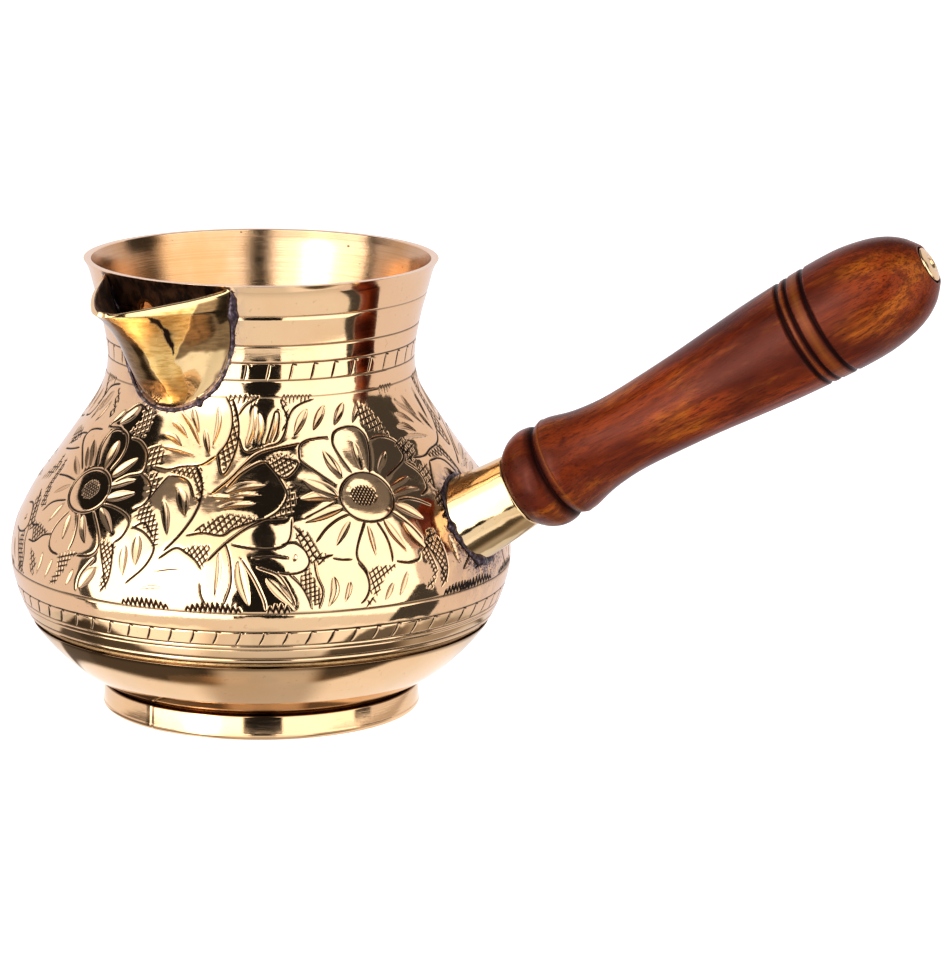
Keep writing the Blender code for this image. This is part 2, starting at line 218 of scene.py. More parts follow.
def mesh_object(name, points, faces, mats, slots=None, values=None, matrix=None):
    """A smooth-shaded piece from arrays: points in mm, faces of four corners."""
    mesh = bpy.data.meshes.new(name)
    mesh.vertices.add(len(points))
    mesh.vertices.foreach_set("co", (np.asarray(points) * MM).astype(np.float32).ravel())
    mesh.loops.add(faces.size)
    mesh.loops.foreach_set("vertex_index", faces.astype(np.int32).ravel())
    mesh.polygons.add(len(faces))
    mesh.polygons.foreach_set("loop_start", np.arange(0, faces.size, 4, dtype=np.int32))
    mesh.polygons.foreach_set("use_smooth", np.ones(len(faces), bool))
    for mat in mats:
        mesh.materials.append(mat)
    if slots is not None:
        mesh.polygons.foreach_set("material_index", np.asarray(slots, np.int32))
    for key, value in (values or {}).items():
        layer = mesh.attributes.new(key, "FLOAT", "POINT")
        layer.data.foreach_set("value", np.asarray(value, np.float32).ravel())
    mesh.update(calc_edges=True)
    obj = bpy.data.objects.new(name, mesh)
    bpy.context.scene.collection.objects.link(obj)
    if matrix is not None:
        obj.matrix_world = matrix
    return obj


def round_z(radius, angle, height):
    """Points at these radii, angles in radians and heights round Z."""
    return np.stack(np.broadcast_arrays(radius * np.cos(angle), radius * np.sin(angle), height), -1)


def lathe(name, outline, columns, mats, matrix=None, shape=None, values=None):
    """A turned piece. The outline runs down outside and back up inside, and closes on itself.

    shape(points, angles) may move the grid of points; values gives the outline points' numbers by name.
    """
    angles = np.arange(columns) * math.tau / columns
    grid = round_z(outline[:, :1], angles, outline[:, 1:])
    if shape:
        grid = shape(grid, angles)
    named = {key: np.repeat(value[:, None], columns, 1) for key, value in (values or {}).items()}
    faces = quads(len(outline), columns, along=True)[:, ::-1]
    return mesh_object(name, grid.reshape(-1, 3), faces, mats, values=named, matrix=matrix)


def rough_field(points, size, seed):
    """Smooth noise of about -1 to 1 at each point, for lumps of this size in mm."""
    shift = Vector((seed * 17.3, seed * 5.1, seed * 11.7))
    flat = points.reshape(-1, 3) / size
    return np.array([noise.noise(Vector(p) + shift) for p in flat]).reshape(points.shape[:-1])


def handle_matrix():
    place = Matrix.Translation((0.0, HANDLE_OFFSET * MM, HANDLE_ROOT * MM))
    return place @ Matrix.Rotation(math.pi / 2 - HANDLE_RISE, 4, "Y")


# Materials

class Surface:
    """A node material, with short calls to add and join its nodes."""

    def __init__(self, name):
        self.mat = bpy.data.materials.new(name)
        self.mat.use_nodes = True
        self.tree = self.mat.node_tree
        self.shader = self.tree.nodes["Principled BSDF"]
        self.place = self.add("ShaderNodeTexCoord").outputs["Object"]

    def add(self, kind, settings=None, **inputs):
        made = self.tree.nodes.new(kind)
        for key, value in (settings or {}).items():
            setattr(made, key, value)
        for key, value in inputs.items():
            self.feed(made.inputs[int(key[1:]) if key[1:].isdigit() else key], value)
        return made

    def feed(self, socket, value):
        if isinstance(value, bpy.types.NodeSocket):
            self.tree.links.new(value, socket)
        elif socket.type == "RGBA":
            socket.default_value = (*value, 1.0)
        else:
            socket.default_value = value

    def math(self, operation, a, b, clamp=False):
        return self.add("ShaderNodeMath", {"operation": operation, "use_clamp": clamp}, i0=a, i1=b).outputs[0]

    def times(self, a, b):
        return self.math("MULTIPLY", a, b)

    def noise(self, per_mm, detail=3.0, roughness=0.5):
        """Noise with about this many lumps per millimetre along X, Y and Z."""
        scale = [count / MM for count in per_mm]
        where = self.add("ShaderNodeMapping", Vector=self.place, Scale=scale).outputs[0]
        made = self.add("ShaderNodeTexNoise", Vector=where, Scale=1.0, Detail=detail, Roughness=roughness)
        return made.outputs[0]

    def span(self, value, low, high, to_low=0.0, to_high=1.0):
        made = self.add("ShaderNodeMapRange", {"interpolation_type": "SMOOTHSTEP"}, i0=value, i1=low, i2=high,
                        i3=to_low, i4=to_high)
        return made.outputs[0]

    def mix(self, factor, a, b):
        return self.add("ShaderNodeMix", {"data_type": "RGBA"}, i0=factor, i6=a, i7=b).outputs[2]

    def over(self, under, value, low, high, color, most=1.0):
        """The colour laid over another where the value passes from low to high."""
        return self.mix(self.span(value, low, high, 0.0, most), under, color)

    def attribute(self, name):
        return self.add("ShaderNodeAttribute", {"attribute_name": name}).outputs["Fac"]

    def bump(self, height, distance, strength=1.0, normal=None):
        made = self.add("ShaderNodeBump", Strength=strength, Distance=distance * MM, Height=height)
        if normal is not None:
            self.feed(made.inputs["Normal"], normal)
        return made.outputs[0]

    def set(self, **inputs):
        for key, value in inputs.items():
            self.feed(self.shader.inputs[key.replace("_", " ")], value)
        return self.mat


def polished_brass(name, color, warm, roughness, lines, engraved=False):
    """Brass with faint turning lines round Z and cloudy tarnishing, whose brown attribute also paints dark
    reflections on the spout; engraved also reads the cuts, stain and soot, a painted dark curved reflection
    and a painted gold reflection.
    """
    s = Surface(name)
    clouds = s.span(s.noise((0.06, 0.06, 0.06), 4.0), 0.42, 0.7)
    spots = s.span(s.noise((0.9, 0.9, 0.9), 2.0), 0.66, 0.74)
    turning = s.noise((0.02, 0.02, 3.2), 5.0, 0.7)
    handling = s.noise((0.35, 0.35, 1.6), 4.0, 0.6)
    tint = s.mix(s.times(clouds, 0.35), color, warm)
    tint = s.mix(s.times(spots, 0.25), tint, [0.6 * c for c in warm])
    # Brown tarnishing; on the spout the same attribute paints dark reflections
    tarnish_and_painted_reflection = s.attribute("tarnish_and_painted_reflection")
    brown = s.over((0.150, 0.082, 0.034), handling, 0.35, 0.65, (0.25, 0.145, 0.062))
    tint = s.mix(tarnish_and_painted_reflection, tint, brown)
    cloudy = s.math("ADD", s.times(clouds, 0.04), s.times(tarnish_and_painted_reflection, 0.05))
    rough = s.math("ADD", s.span(handling, 0.3, 0.8, roughness * 0.7, roughness * 1.5), cloudy)
    normal = s.bump(turning, 0.004 * lines)
    normal = s.bump(handling, 0.010, 0.5, normal)
    if engraved:
        specks = s.noise((1.6, 1.6, 1.6), 4.0, 0.7)
        smear = s.noise((0.5, 0.5, 0.25), 4.0, 0.6)
        stain, soot, fill, painted_gold_reflection = (s.attribute(name) for name in ("stain", "soot", "fill", "painted_gold_reflection"))
        patchy = s.math("MULTIPLY", stain, s.span(smear, 0.36, 0.6), True)
        speckled = s.span(s.math("ADD", specks, s.times(stain, 0.30)), 0.72, 0.80)
        speckled = s.times(speckled, s.span(stain, 0.05, 0.4))
        tint = s.mix(s.times(patchy, 0.75), tint, (0.34, 0.26, 0.28))
        tint = s.mix(s.times(speckled, 0.9), tint, (0.07, 0.045, 0.06))
        burnt = s.over((0.065, 0.038, 0.028), smear, 0.35, 0.7, (0.32, 0.165, 0.085))
        tint = s.mix(soot, tint, burnt)
        # Dark filling in the cuts; on the spout the same attribute paints a dark curved reflection
        tint = s.mix(fill, tint, (0.020, 0.010, 0.007))
        # A painted gold reflection along the spout's ridge, left out under the dark curved reflection
        gold_reflection_color = s.over((0.88, 0.62, 0.26), handling, 0.4, 0.7, (0.64, 0.38, 0.11))
        tint = s.mix(s.times(painted_gold_reflection, s.math("SUBTRACT", 1.0, fill)), tint, gold_reflection_color)
        dull = s.math("MAXIMUM", s.times(fill, 0.45), s.times(soot, 0.35))
        dull = s.math("MAXIMUM", dull, s.times(painted_gold_reflection, 0.22))
        rough = s.math("ADD", rough, s.math("MAXIMUM", dull, s.times(patchy, 0.22)))
    return s.set(Base_Color=tint, Metallic=1.0, Roughness=rough, Normal=normal)


def satin_brass():
    s = Surface("satin_brass_inside")
    lines = s.noise((0.015, 0.015, 5.0), 6.0, 0.75)
    clouds = s.span(s.noise((0.07, 0.07, 0.05), 4.0), 0.35, 0.7)
    tint = s.mix(clouds, (0.66, 0.435, 0.265), (0.60, 0.350, 0.165))
    tint = s.over(tint, lines, 0.35, 0.75, (0.42, 0.225, 0.090), 0.40)
    pits = s.span(s.noise((0.55, 0.55, 0.55), 2.0), 0.74, 0.78)
    tint = s.mix(s.math("MULTIPLY", pits, 0.8), tint, (0.10, 0.04, 0.02))
    rough = s.span(lines, 0.3, 0.7, 0.10, 0.19)
    return s.set(Base_Color=tint, Metallic=1.0, Roughness=rough, Normal=s.bump(lines, 0.022, 0.8))


def smoked_brass():
    """The unpolished inside of the spout: heat-browned brass with flux and solder on it."""
    s = Surface("smoked_brass")
    broad = s.noise((0.22, 0.22, 0.16), 4.0, 0.6)
    fine = s.noise((1.3, 1.3, 0.9), 4.0, 0.65)
    tint = s.over((0.105, 0.062, 0.046), broad, 0.35, 0.7, (0.46, 0.260, 0.150))
    tint = s.over(tint, fine, 0.58, 0.70, (0.42, 0.37, 0.39), 0.7)
    return s.set(Base_Color=tint, Metallic=0.75, Roughness=s.span(fine, 0.3, 0.7, 0.32, 0.55),
                 Normal=s.bump(fine, 0.10, 0.7))


def solder_metal():
    s = Surface("dark_solder")
    grain = s.noise((1.1, 1.1, 1.1), 5.0, 0.65)
    patch = s.noise((0.28, 0.28, 0.28), 3.0)
    tint = s.over((0.024, 0.014, 0.020), grain, 0.38, 0.72, (0.17, 0.13, 0.15))
    tint = s.over(tint, patch, 0.60, 0.72, (0.36, 0.29, 0.26), 0.6)
    rough = s.span(grain, 0.3, 0.7, 0.55, 0.25)
    metal = s.span(grain, 0.3, 0.6, 0.55, 0.95)
    normal = s.bump(grain, 0.18, 0.9)
    return s.set(Base_Color=tint, Metallic=metal, Roughness=rough, Normal=normal)


def braze_metal():
    s = Surface("brazing_metal")
    grain = s.noise((0.8, 0.8, 1.4), 4.0, 0.6)
    tint = s.mix(grain, (0.20, 0.11, 0.045), (0.52, 0.34, 0.16))
    return s.set(Base_Color=tint, Metallic=0.9, Roughness=s.span(grain, 0.3, 0.7, 0.5, 0.3),
                 Normal=s.bump(grain, 0.06))


def drawn_steel():
    s = Surface("drawn_steel")
    lines = s.noise((2.5, 2.5, 0.05), 4.0, 0.6)
    tint = s.mix(lines, (0.36, 0.35, 0.34), (0.62, 0.61, 0.60))
    return s.set(Base_Color=tint, Metallic=1.0, Roughness=s.span(lines, 0.3, 0.7, 0.25, 0.45),
                 Normal=s.bump(lines, 0.01))


def varnished_wood():
    """Stained, varnished hardwood turned about the local Z, with burnt grooves, painted shade in the recess
    beside the bead, a darkened pocket and worn edges.
    """
    s = Surface("varnished_wood")
    cloud = s.noise((0.045, 0.045, 0.020), 4.0, 0.6)
    amber = s.noise((0.085, 0.085, 0.030), 4.0, 0.62)
    streak = s.noise((0.75, 0.75, 0.035), 4.0, 0.6)
    fibre = s.noise((3.4, 3.4, 0.26), 3.0, 0.6)
    pores = s.noise((2.4, 2.4, 0.30), 2.0)
    rings = s.noise((0.03, 0.03, 2.4), 3.0, 0.6)
    tint = s.over((0.050, 0.0070, 0.0035), cloud, 0.38, 0.66, (0.245, 0.0440, 0.0090))
    tint = s.over(tint, amber, 0.50, 0.68, (0.360, 0.1080, 0.0120), 0.85)
    tint = s.over(tint, streak, 0.42, 0.64, (0.070, 0.0100, 0.0045), 0.68)
    tint = s.over(tint, fibre, 0.48, 0.66, (0.040, 0.0070, 0.0035), 0.72)
    tint = s.over(tint, pores, 0.70, 0.76, (0.015, 0.0040, 0.0030), 0.75)
    tint = s.mix(s.attribute("worn"), tint, (0.26, 0.090, 0.016))
    # Burnt rings, painted shade in the recess beside the bead, and the darkened pocket and bore
    burn_and_painted_shade = s.attribute("burn_and_painted_shade")
    tint = s.mix(burn_and_painted_shade, tint, (0.012, 0.0030, 0.0030))
    normal = s.bump(fibre, 0.03, 0.35)
    dents = s.noise((0.16, 0.16, 0.06), 2.0)
    ripple = s.bump(rings, 0.006, 0.4, s.bump(dents, 0.12, 0.6))
    s.set(Base_Color=tint, Roughness=s.span(streak, 0.3, 0.7, 0.24, 0.34), IOR=1.45, Normal=normal)
    s.set(Specular_IOR_Level=s.span(burn_and_painted_shade, 0.1, 0.8, 0.34, 0.05), Specular_Tint=(1.0, 0.36, 0.24))
    s.set(Coat_Weight=s.span(burn_and_painted_shade, 0.1, 0.8, 0.06, 0.02), Coat_Roughness=0.14, Coat_Normal=ripple)
    return s.set(Coat_IOR=1.42, Coat_Tint=(1.0, 0.86, 0.84))


BODY_BRASS = polished_brass("engraved_brass", (0.875, 0.610, 0.375), (0.83, 0.50, 0.25), 0.058, 0.5, True)
BOWL_BRASS = polished_brass("bowl_brass", (0.865, 0.585, 0.345), (0.82, 0.48, 0.22), 0.060, 1.0)
FITTING_BRASS = polished_brass("fitting_brass", (0.880, 0.655, 0.395), (0.82, 0.52, 0.22), 0.080, 0.2)
SPOUT_BRASS = polished_brass("spout_brass", (0.880, 0.640, 0.350), (0.80, 0.48, 0.16), 0.075, 0.3, True)
SMOKED_BRASS = smoked_brass()
INSIDE_BRASS = satin_brass()
SOLDER = solder_metal()
BRAZE = braze_metal()
STEEL = drawn_steel()
WOOD = varnished_wood()


# Engraving

FINE_FROM, FINE_TO = -153.0, -6.0
FINE_STEP, BACK_STEP = 0.175, 0.30
SUNK_BESIDE = 0.030    # how far the graver pressed down the sheet beside a cut, in mm
# Turned lines: height, half width, depth and dark fill
RING_LINES = [
    (94.7, 0.30, 0.10, 0.5), (88.0, 0.32, 0.12, 0.8), (84.1, 0.30, 0.12, 1.0), (80.2, 0.30, 0.12, 0.9),
    (76.6, 0.26, 0.10, 0.8), (33.5, 0.36, 0.18, 0.9), (29.3, 0.28, 0.12, 1.0), (26.0, 0.28, 0.12, 0.8),
    (25.0, 0.26, 0.10, 0.6), (22.7, 0.45, 0.20, 0.8),
]


def grid_angles():
    """Angles of the columns, close on the side that faces the camera and wider apart behind."""
    fine = np.arange(FINE_FROM, FINE_TO, FINE_STEP)
    back_count = round((360.0 + FINE_FROM - FINE_TO) / BACK_STEP)
    return np.concatenate([fine, np.linspace(FINE_TO, FINE_FROM + 360.0, back_count, endpoint=False)])


def grid_heights():
    """Heights of the rows, close where there is engraving and open where the wall is plain."""
    def step(height):
        if 33.0 < height < 77.2:
            return 0.185
        if min(abs(height - line[0]) for line in RING_LINES) < 0.9:
            return 0.13
        if 79.9 < height < 84.4 or 25.8 < height < 29.6:
            return 0.22
        return 0.7
    heights = [SEAM_TOP + 0.25]
    while heights[-1] < RIM_TOP - 0.75:
        slope = np.hypot(1.0, (body_radius(heights[-1] + 0.2) - body_radius(heights[-1] - 0.2)) / 0.4)
        heights.append(heights[-1] + step(heights[-1]) / slope)
    return np.array(heights)


class Engraving:
    """Depth in mm and dark fill, 0 to 1, at each point of the pot's grid."""

    def __init__(self, angles, heights):
        self.angles, self.heights = angles, heights
        self.radii = body_radius(heights)
        self.arcs = np.interp(heights, LEVELS, ARC)
        self.depth = np.zeros((len(heights), len(angles)))
        self.fill = np.zeros_like(self.depth)

    def stroke(self, points, width, depth, fill, kind="line"):
        """Cuts along (angle, height) points. width is the full width in mm."""
        line = np.array(points, float)
        if len(line) > 2:
            line = smooth_line(line, 6)
        line[:, 0] -= 360.0 * math.floor((line[0, 0] - FINE_FROM) / 360.0)
        # A stroke that would run over the grid's own start is left out
        if line[:, 0].max() > FINE_FROM + 358.0:
            return
        middle = line[:, 0].mean()
        reach = width / 2 + 1.2
        span = math.degrees(reach / body_radius(line[:, 1]).min())
        columns = slice(*np.searchsorted(self.angles, (line[:, 0].min() - span, line[:, 0].max() + span)))
        arc = np.interp(line[:, 1], LEVELS, ARC)
        rows = slice(*np.searchsorted(self.arcs, (arc.min() - reach, arc.max() + reach)))
        if columns.stop <= columns.start or rows.stop <= rows.start:
            return
        x = np.radians(self.angles[columns] - middle)[None, :] * self.radii[rows][:, None]
        y = np.repeat(self.arcs[rows][:, None], x.shape[1], 1)
        knots = np.stack([np.radians(line[:, 0] - middle) * body_radius(line[:, 1]), arc], 1)
        steps = np.linalg.norm(np.diff(knots, axis=0), axis=1)
        total = max(steps.sum(), 1e-6)
        gone = 0.0
        nearest = np.full(x.shape, 1e9)
        where = np.zeros(x.shape)
        for start, end, length in zip(knots, knots[1:], steps):
            if length < 1e-9:
                continue
            way = (end - start) / length
            along = np.clip((x - start[0]) * way[0] + (y - start[1]) * way[1], 0, length)
            away = np.hypot(x - start[0] - along * way[0], y - start[1] - along * way[1])
            closer = away < nearest
            nearest[closer] = away[closer]
            where[closer] = (gone + along[closer]) / total
            gone += length
        if kind == "gouge":
            swell = np.clip(np.sin(math.pi * np.clip(where, 0, 1) ** 0.8), 0.02, 1) ** 0.75
        else:
            ends = min(0.45, 0.9 / total)
            swell = np.clip(np.minimum(where, 1 - where) / ends, 0, 1) ** 0.5 * 0.8 + 0.2
        half = width / 2 * swell
        across = nearest / half
        if kind == "gouge":
            cut = depth * swell * np.clip(1 - across ** 2, 0, None)
            edges = np.clip(1 - np.abs(across - 0.90) / 0.24, 0, 1)
            dark = fill * np.maximum(edges, 0.35 * np.clip(1 - across, 0, 1))
        else:
            cut = depth * np.clip(1 - across, 0, None) ** 0.8
            dark = fill * np.clip(2.2 * (1 - across), 0, 1)
        cut = cut + SUNK_BESIDE * np.exp(-(nearest / 0.8) ** 2)
        self.depth[rows, columns] = np.maximum(self.depth[rows, columns], cut)
        self.fill[rows, columns] = np.maximum(self.fill[rows, columns], dark)

    def ring(self, height, width, depth, fill):
        """A line turned all round the pot."""
        away = np.abs(self.arcs - np.interp(height, LEVELS, ARC))
        self.depth += (depth * np.clip(1 - (away / width) ** 2, 0, None))[:, None]
        dark = fill * np.clip(1.2 - 1.4 * away / width, 0, 1)
        self.fill = np.maximum(self.fill, dark[:, None])


# The engraving of the side that faces the camera, in (degrees, mm). LINES are thin strokes, and CUTS are
# gouges as (width, points). FLOWER_A and FLOWER_B are the angles of its two flowers. The points were read
# from the photo, and the back repeats them.
FLOWER_A, FLOWER_B, FLOWER_GAP = -122.6, -41.9, 80.7
BACK_FLOWERS = (FLOWER_B + 93.1, FLOWER_B + 186.2)
LINE_WIDTH, HATCH_WIDTH = 0.62, 0.46


def oval(angle, height, across, up, count=20):
    turns = np.arange(count + 1) * math.tau / count
    return [(angle + across * math.cos(t), height + up * math.sin(t)) for t in turns]


FLOWER_A_LINES = [
    oval(-122.9, 55, 7.6, 4.3),
    [(-125, 60), (-127.6, 62.8), (-128, 65), (-126.6, 66.8), (-124, 67.4), (-121.3, 67.3), (-118.6, 66.5),
     (-117, 64.6), (-117, 62.4), (-118.8, 59.6)],
    [(-116.4, 66.4), (-112, 66), (-108.2, 64.3), (-106.8, 62), (-107.3, 60.2), (-111.5, 59.2),
     (-115.2, 57.6)],
    [(-107.3, 60.2), (-104.5, 59.2), (-102.4, 57.6), (-102, 55.8), (-103.2, 54.2), (-105.4, 53.3)],
    [(-115.2, 53.2), (-112, 53.1), (-108.4, 52.5), (-106, 51.5), (-105.3, 50), (-106.2, 47.8),
     (-108, 46.4)],
    [(-117.5, 51.4), (-115, 49.3), (-113, 47.2), (-112.1, 45.4), (-112.6, 43.8), (-114.4, 42.8),
     (-118, 42.4)],
    [(-126.3, 50.4), (-128.7, 47.6), (-129.7, 45), (-129, 42.8), (-127.3, 41.7), (-124.6, 41.4)],
    [(-122.6, 50.3), (-121.1, 47.9), (-120.6, 45.2), (-121.2, 42.9)],
    [(-130, 52.1), (-134, 51.3), (-136.6, 50.3), (-138.6, 48.4)],
    [(-130, 44.9), (-133, 44.1), (-136.2, 42.2), (-139.8, 41.9)],
    [(-131.2, 56), (-136.5, 56.1), (-141.8, 55.7)],
    [(-130.8, 58.3), (-135, 60.5), (-139.4, 62.5), (-140.9, 64), (-140, 65.3), (-137, 66.1),
     (-132.6, 66.5)],
]
FLOWER_A_CUTS = [
    (2.6, [(-121.3, 65.2), (-121.3, 59.4)]), (2.2, [(-117, 58.6), (-110.3, 62.8)]),
    (2.2, [(-115.2, 54.3), (-110.6, 55.4), (-106.5, 56.2)]),
    (2, [(-115.6, 52.3), (-112.6, 50.6), (-109.4, 48.1)]),
    (1.7, [(-120.4, 50.1), (-118.6, 47.6), (-116.3, 45.1)]), (1.6, [(-125.2, 49.8), (-124.4, 44.6)]),
    (1.3, [(-129.9, 51.5), (-133.2, 46.9)]), (1.1, [(-131.8, 54.9), (-138.2, 52.2)]),
    (1.6, [(-130.9, 57.1), (-135, 58.5), (-139.2, 60)]),
    (2.1, [(-127.6, 59.3), (-130.2, 61.6), (-133.8, 64.2)]),
    (1.4, [(-129.2, 58.9), (-132, 60.8), (-135, 62.6)]),
    (1.8, [(-116.6, 56.6), (-111.5, 58), (-108, 58.6)]),
]
FLOWER_B_LINES = [
    oval(-41.8, 56.1, 7.9, 4.7),
    [(-44.3, 61), (-46.4, 64), (-47.8, 66.6), (-47.2, 68.5), (-45.2, 69.5), (-41.5, 69.9), (-38, 69.6),
     (-35.9, 68.4), (-35.3, 67), (-36, 64.8), (-37.2, 62.6), (-38.6, 60.5)],
    [(-34.4, 66.8), (-31, 67.1), (-27.5, 66.8), (-24.6, 65.8), (-23.2, 64), (-24.6, 62), (-29.8, 60.4),
     (-33.6, 59.3)], [(-24.4, 61.4), (-22, 60), (-20.5, 58.5), (-20.3, 57), (-21.2, 55.6), (-24.4, 54.7)],
    [(-33.2, 54.6), (-30, 54.7), (-27, 54.1), (-25, 53.4), (-22.9, 52.5)],
    [(-36.6, 52.9), (-33.6, 50.8), (-31.4, 48.8), (-29.8, 46.6)],
    [(-44.7, 51.6), (-47, 48.6), (-48.4, 46), (-48.5, 44.3), (-47.6, 43.1), (-46.8, 41.8), (-46.6, 40.6)],
    [(-41.4, 51.4), (-39.9, 48.2), (-39.5, 45), (-39.8, 43)],
    [(-38.7, 43), (-35.4, 42.4), (-32.6, 42.7), (-31.6, 43.9)],
    [(-48.6, 53.3), (-52, 52.4), (-55.2, 50.8), (-58, 48.4)], [(-54.6, 44.9), (-52.2, 44.5), (-49.8, 44.4)],
    [(-51.2, 55.8), (-55, 54.6), (-60.2, 53)],
    [(-50.4, 59.2), (-54.4, 61.4), (-58.8, 63.8), (-59.4, 65.2), (-58.8, 67), (-56.4, 67.9), (-52.6, 68.2),
     (-49.2, 68.3)],
]
FLOWER_B_CUTS = [
    (1.8, [(-40.7, 66.8), (-41, 61.2)]), (1.5, [(-30.2, 64), (-35.8, 60.6)]),
    (1.3, [(-25.8, 58.6), (-34, 57.2)]), (2.2, [(-34.6, 53.9), (-31, 52.4), (-27.2, 50.2)]),
    (2.6, [(-34, 50.2), (-32.2, 47.6), (-29.6, 44.4)]),
    (1.8, [(-39.2, 51.4), (-37.6, 48.4), (-35.3, 45.1)]), (1.1, [(-44.1, 50.8), (-43.8, 44.3)]),
    (1.3, [(-48.6, 52), (-53.4, 47.2)]), (2.2, [(-49.8, 54.5), (-54, 53.9), (-60, 52.3)]),
    (2, [(-50.8, 56.1), (-55, 57), (-60.6, 56.6)]), (2.9, [(-50, 56.6), (-54, 58.2), (-59.3, 60.4)]),
    (2.2, [(-47.8, 60.5), (-49.8, 63), (-51.8, 65.8)]), (1.4, [(-33.6, 55.8), (-28.4, 56.3), (-24, 56)]),
]
# Leaves and stems between the flowers
STEM_LINES = [
    [(-150.5, 61), (-146, 63.8), (-141, 64.7)], [(-150.5, 60), (-145, 60.7), (-140, 61.7)],
]
GARDEN_LINES = [
    [(-84.8, 64.9), (-82, 67.6), (-80.9, 71), (-81.8, 74.4), (-83.8, 76.6)],
    [(-104, 61.8), (-99, 61.6), (-95, 62.4), (-89, 63), (-84.8, 64.9)],
    [(-81.2, 76.2), (-79.4, 73.2), (-78.5, 69.4), (-79.2, 65.6), (-82, 61.4), (-84.5, 65)],
    [(-79, 72.9), (-76.4, 75), (-71.8, 76.8)], [(-78.4, 68.8), (-76, 65.9), (-71, 66.6)],
    [(-69.8, 67.3), (-67.6, 71), (-66.2, 73.6), (-64.8, 73.2), (-65.6, 69.8), (-67.2, 67.8)],
    [(-64.3, 76.2), (-62.4, 73), (-62.4, 71), (-65.2, 67.8), (-70, 66.8)],
    [(-62.6, 71.3), (-60, 74), (-56.8, 75.2), (-52, 76)],
    [(-84.6, 57.6), (-80.2, 60.4), (-76.4, 63.2), (-72, 65.5), (-66, 66.6), (-58.8, 67.4)],
    [(-80.6, 58.8), (-76.6, 61.8), (-70.2, 63.9), (-66.8, 61.6), (-64.6, 59), (-64.2, 57.2), (-66.2, 54.9),
     (-69, 53.4), (-74.4, 51.4), (-79.6, 48.1), (-83.4, 44.6)],
    [(-89.3, 49.4), (-85, 50.1), (-80.4, 49.8), (-77.6, 51.2), (-71.6, 52.8), (-64.8, 53.1)],
    [(-69.8, 63.9), (-64.6, 60.8), (-60, 63.6), (-65, 64.6)],
    [(-94.2, 46), (-90.8, 49.6), (-88.4, 53.2), (-87.3, 57), (-88.2, 60.4), (-90.2, 62.6)],
    [(-98.2, 60.4), (-94, 60.3), (-91.2, 59.2), (-89.2, 56.6)],
    [(-98.2, 60.4), (-100.4, 57.8), (-102, 55.2)],
    [(-104.2, 50.1), (-100.6, 49.3), (-97.8, 47.6), (-96.8, 45.8), (-98.4, 42.4), (-102.8, 38.4)],
    [(-95.2, 44.4), (-91.4, 46.8), (-88.6, 46), (-86.2, 44.6), (-84.6, 42.8)],
    [(-84.8, 40), (-84.4, 37.4), (-83.2, 35.2)], [(-79.6, 48.4), (-78.2, 45), (-77.8, 40), (-79.2, 35.6)],
    [(-75.6, 45.2), (-72.8, 41.4), (-70.6, 37), (-70, 34.4)],
    [(-72, 43.6), (-67.8, 42.2), (-66, 40.4), (-64.6, 37.8), (-63.6, 35.2)],
    [(-65.2, 42.3), (-62.2, 39.4), (-60.6, 36.4), (-60, 34.4)],
    [(-66.4, 48), (-63.4, 48.4), (-60.9, 46.8), (-60.1, 44.4), (-61.6, 42.7), (-64.6, 42.1), (-67.4, 42.4)],
    [(-73.2, 45.4), (-69, 45.7), (-65, 45.3)],
    [(-78, 48), (-72.4, 47.3), (-67.4, 47.4), (-64.4, 49), (-63.4, 53)],
    [(-63, 51.6), (-60.2, 48.4), (-58.4, 45.2), (-54.4, 45.6)],
    [(-59, 44.6), (-58.6, 41.4), (-57.4, 38), (-58.4, 34.4)],
    [(-48.6, 43.6), (-46.8, 41), (-46.5, 38), (-47.4, 35.9), (-48.6, 34.8)],
    [(-108, 46.4), (-107.2, 42), (-107.6, 38.4), (-109.6, 35.8)],
    [(-111.8, 46), (-109.4, 41), (-108, 36.6)], [(-112.4, 42.4), (-115.6, 38.6), (-116.6, 35.2)],
    [(-120.6, 66.9), (-124, 67.8), (-129.6, 67.6), (-124, 71), (-119, 73), (-114, 72)],
    [(-104.2, 49.6), (-101, 51), (-97.6, 48.4)],
]
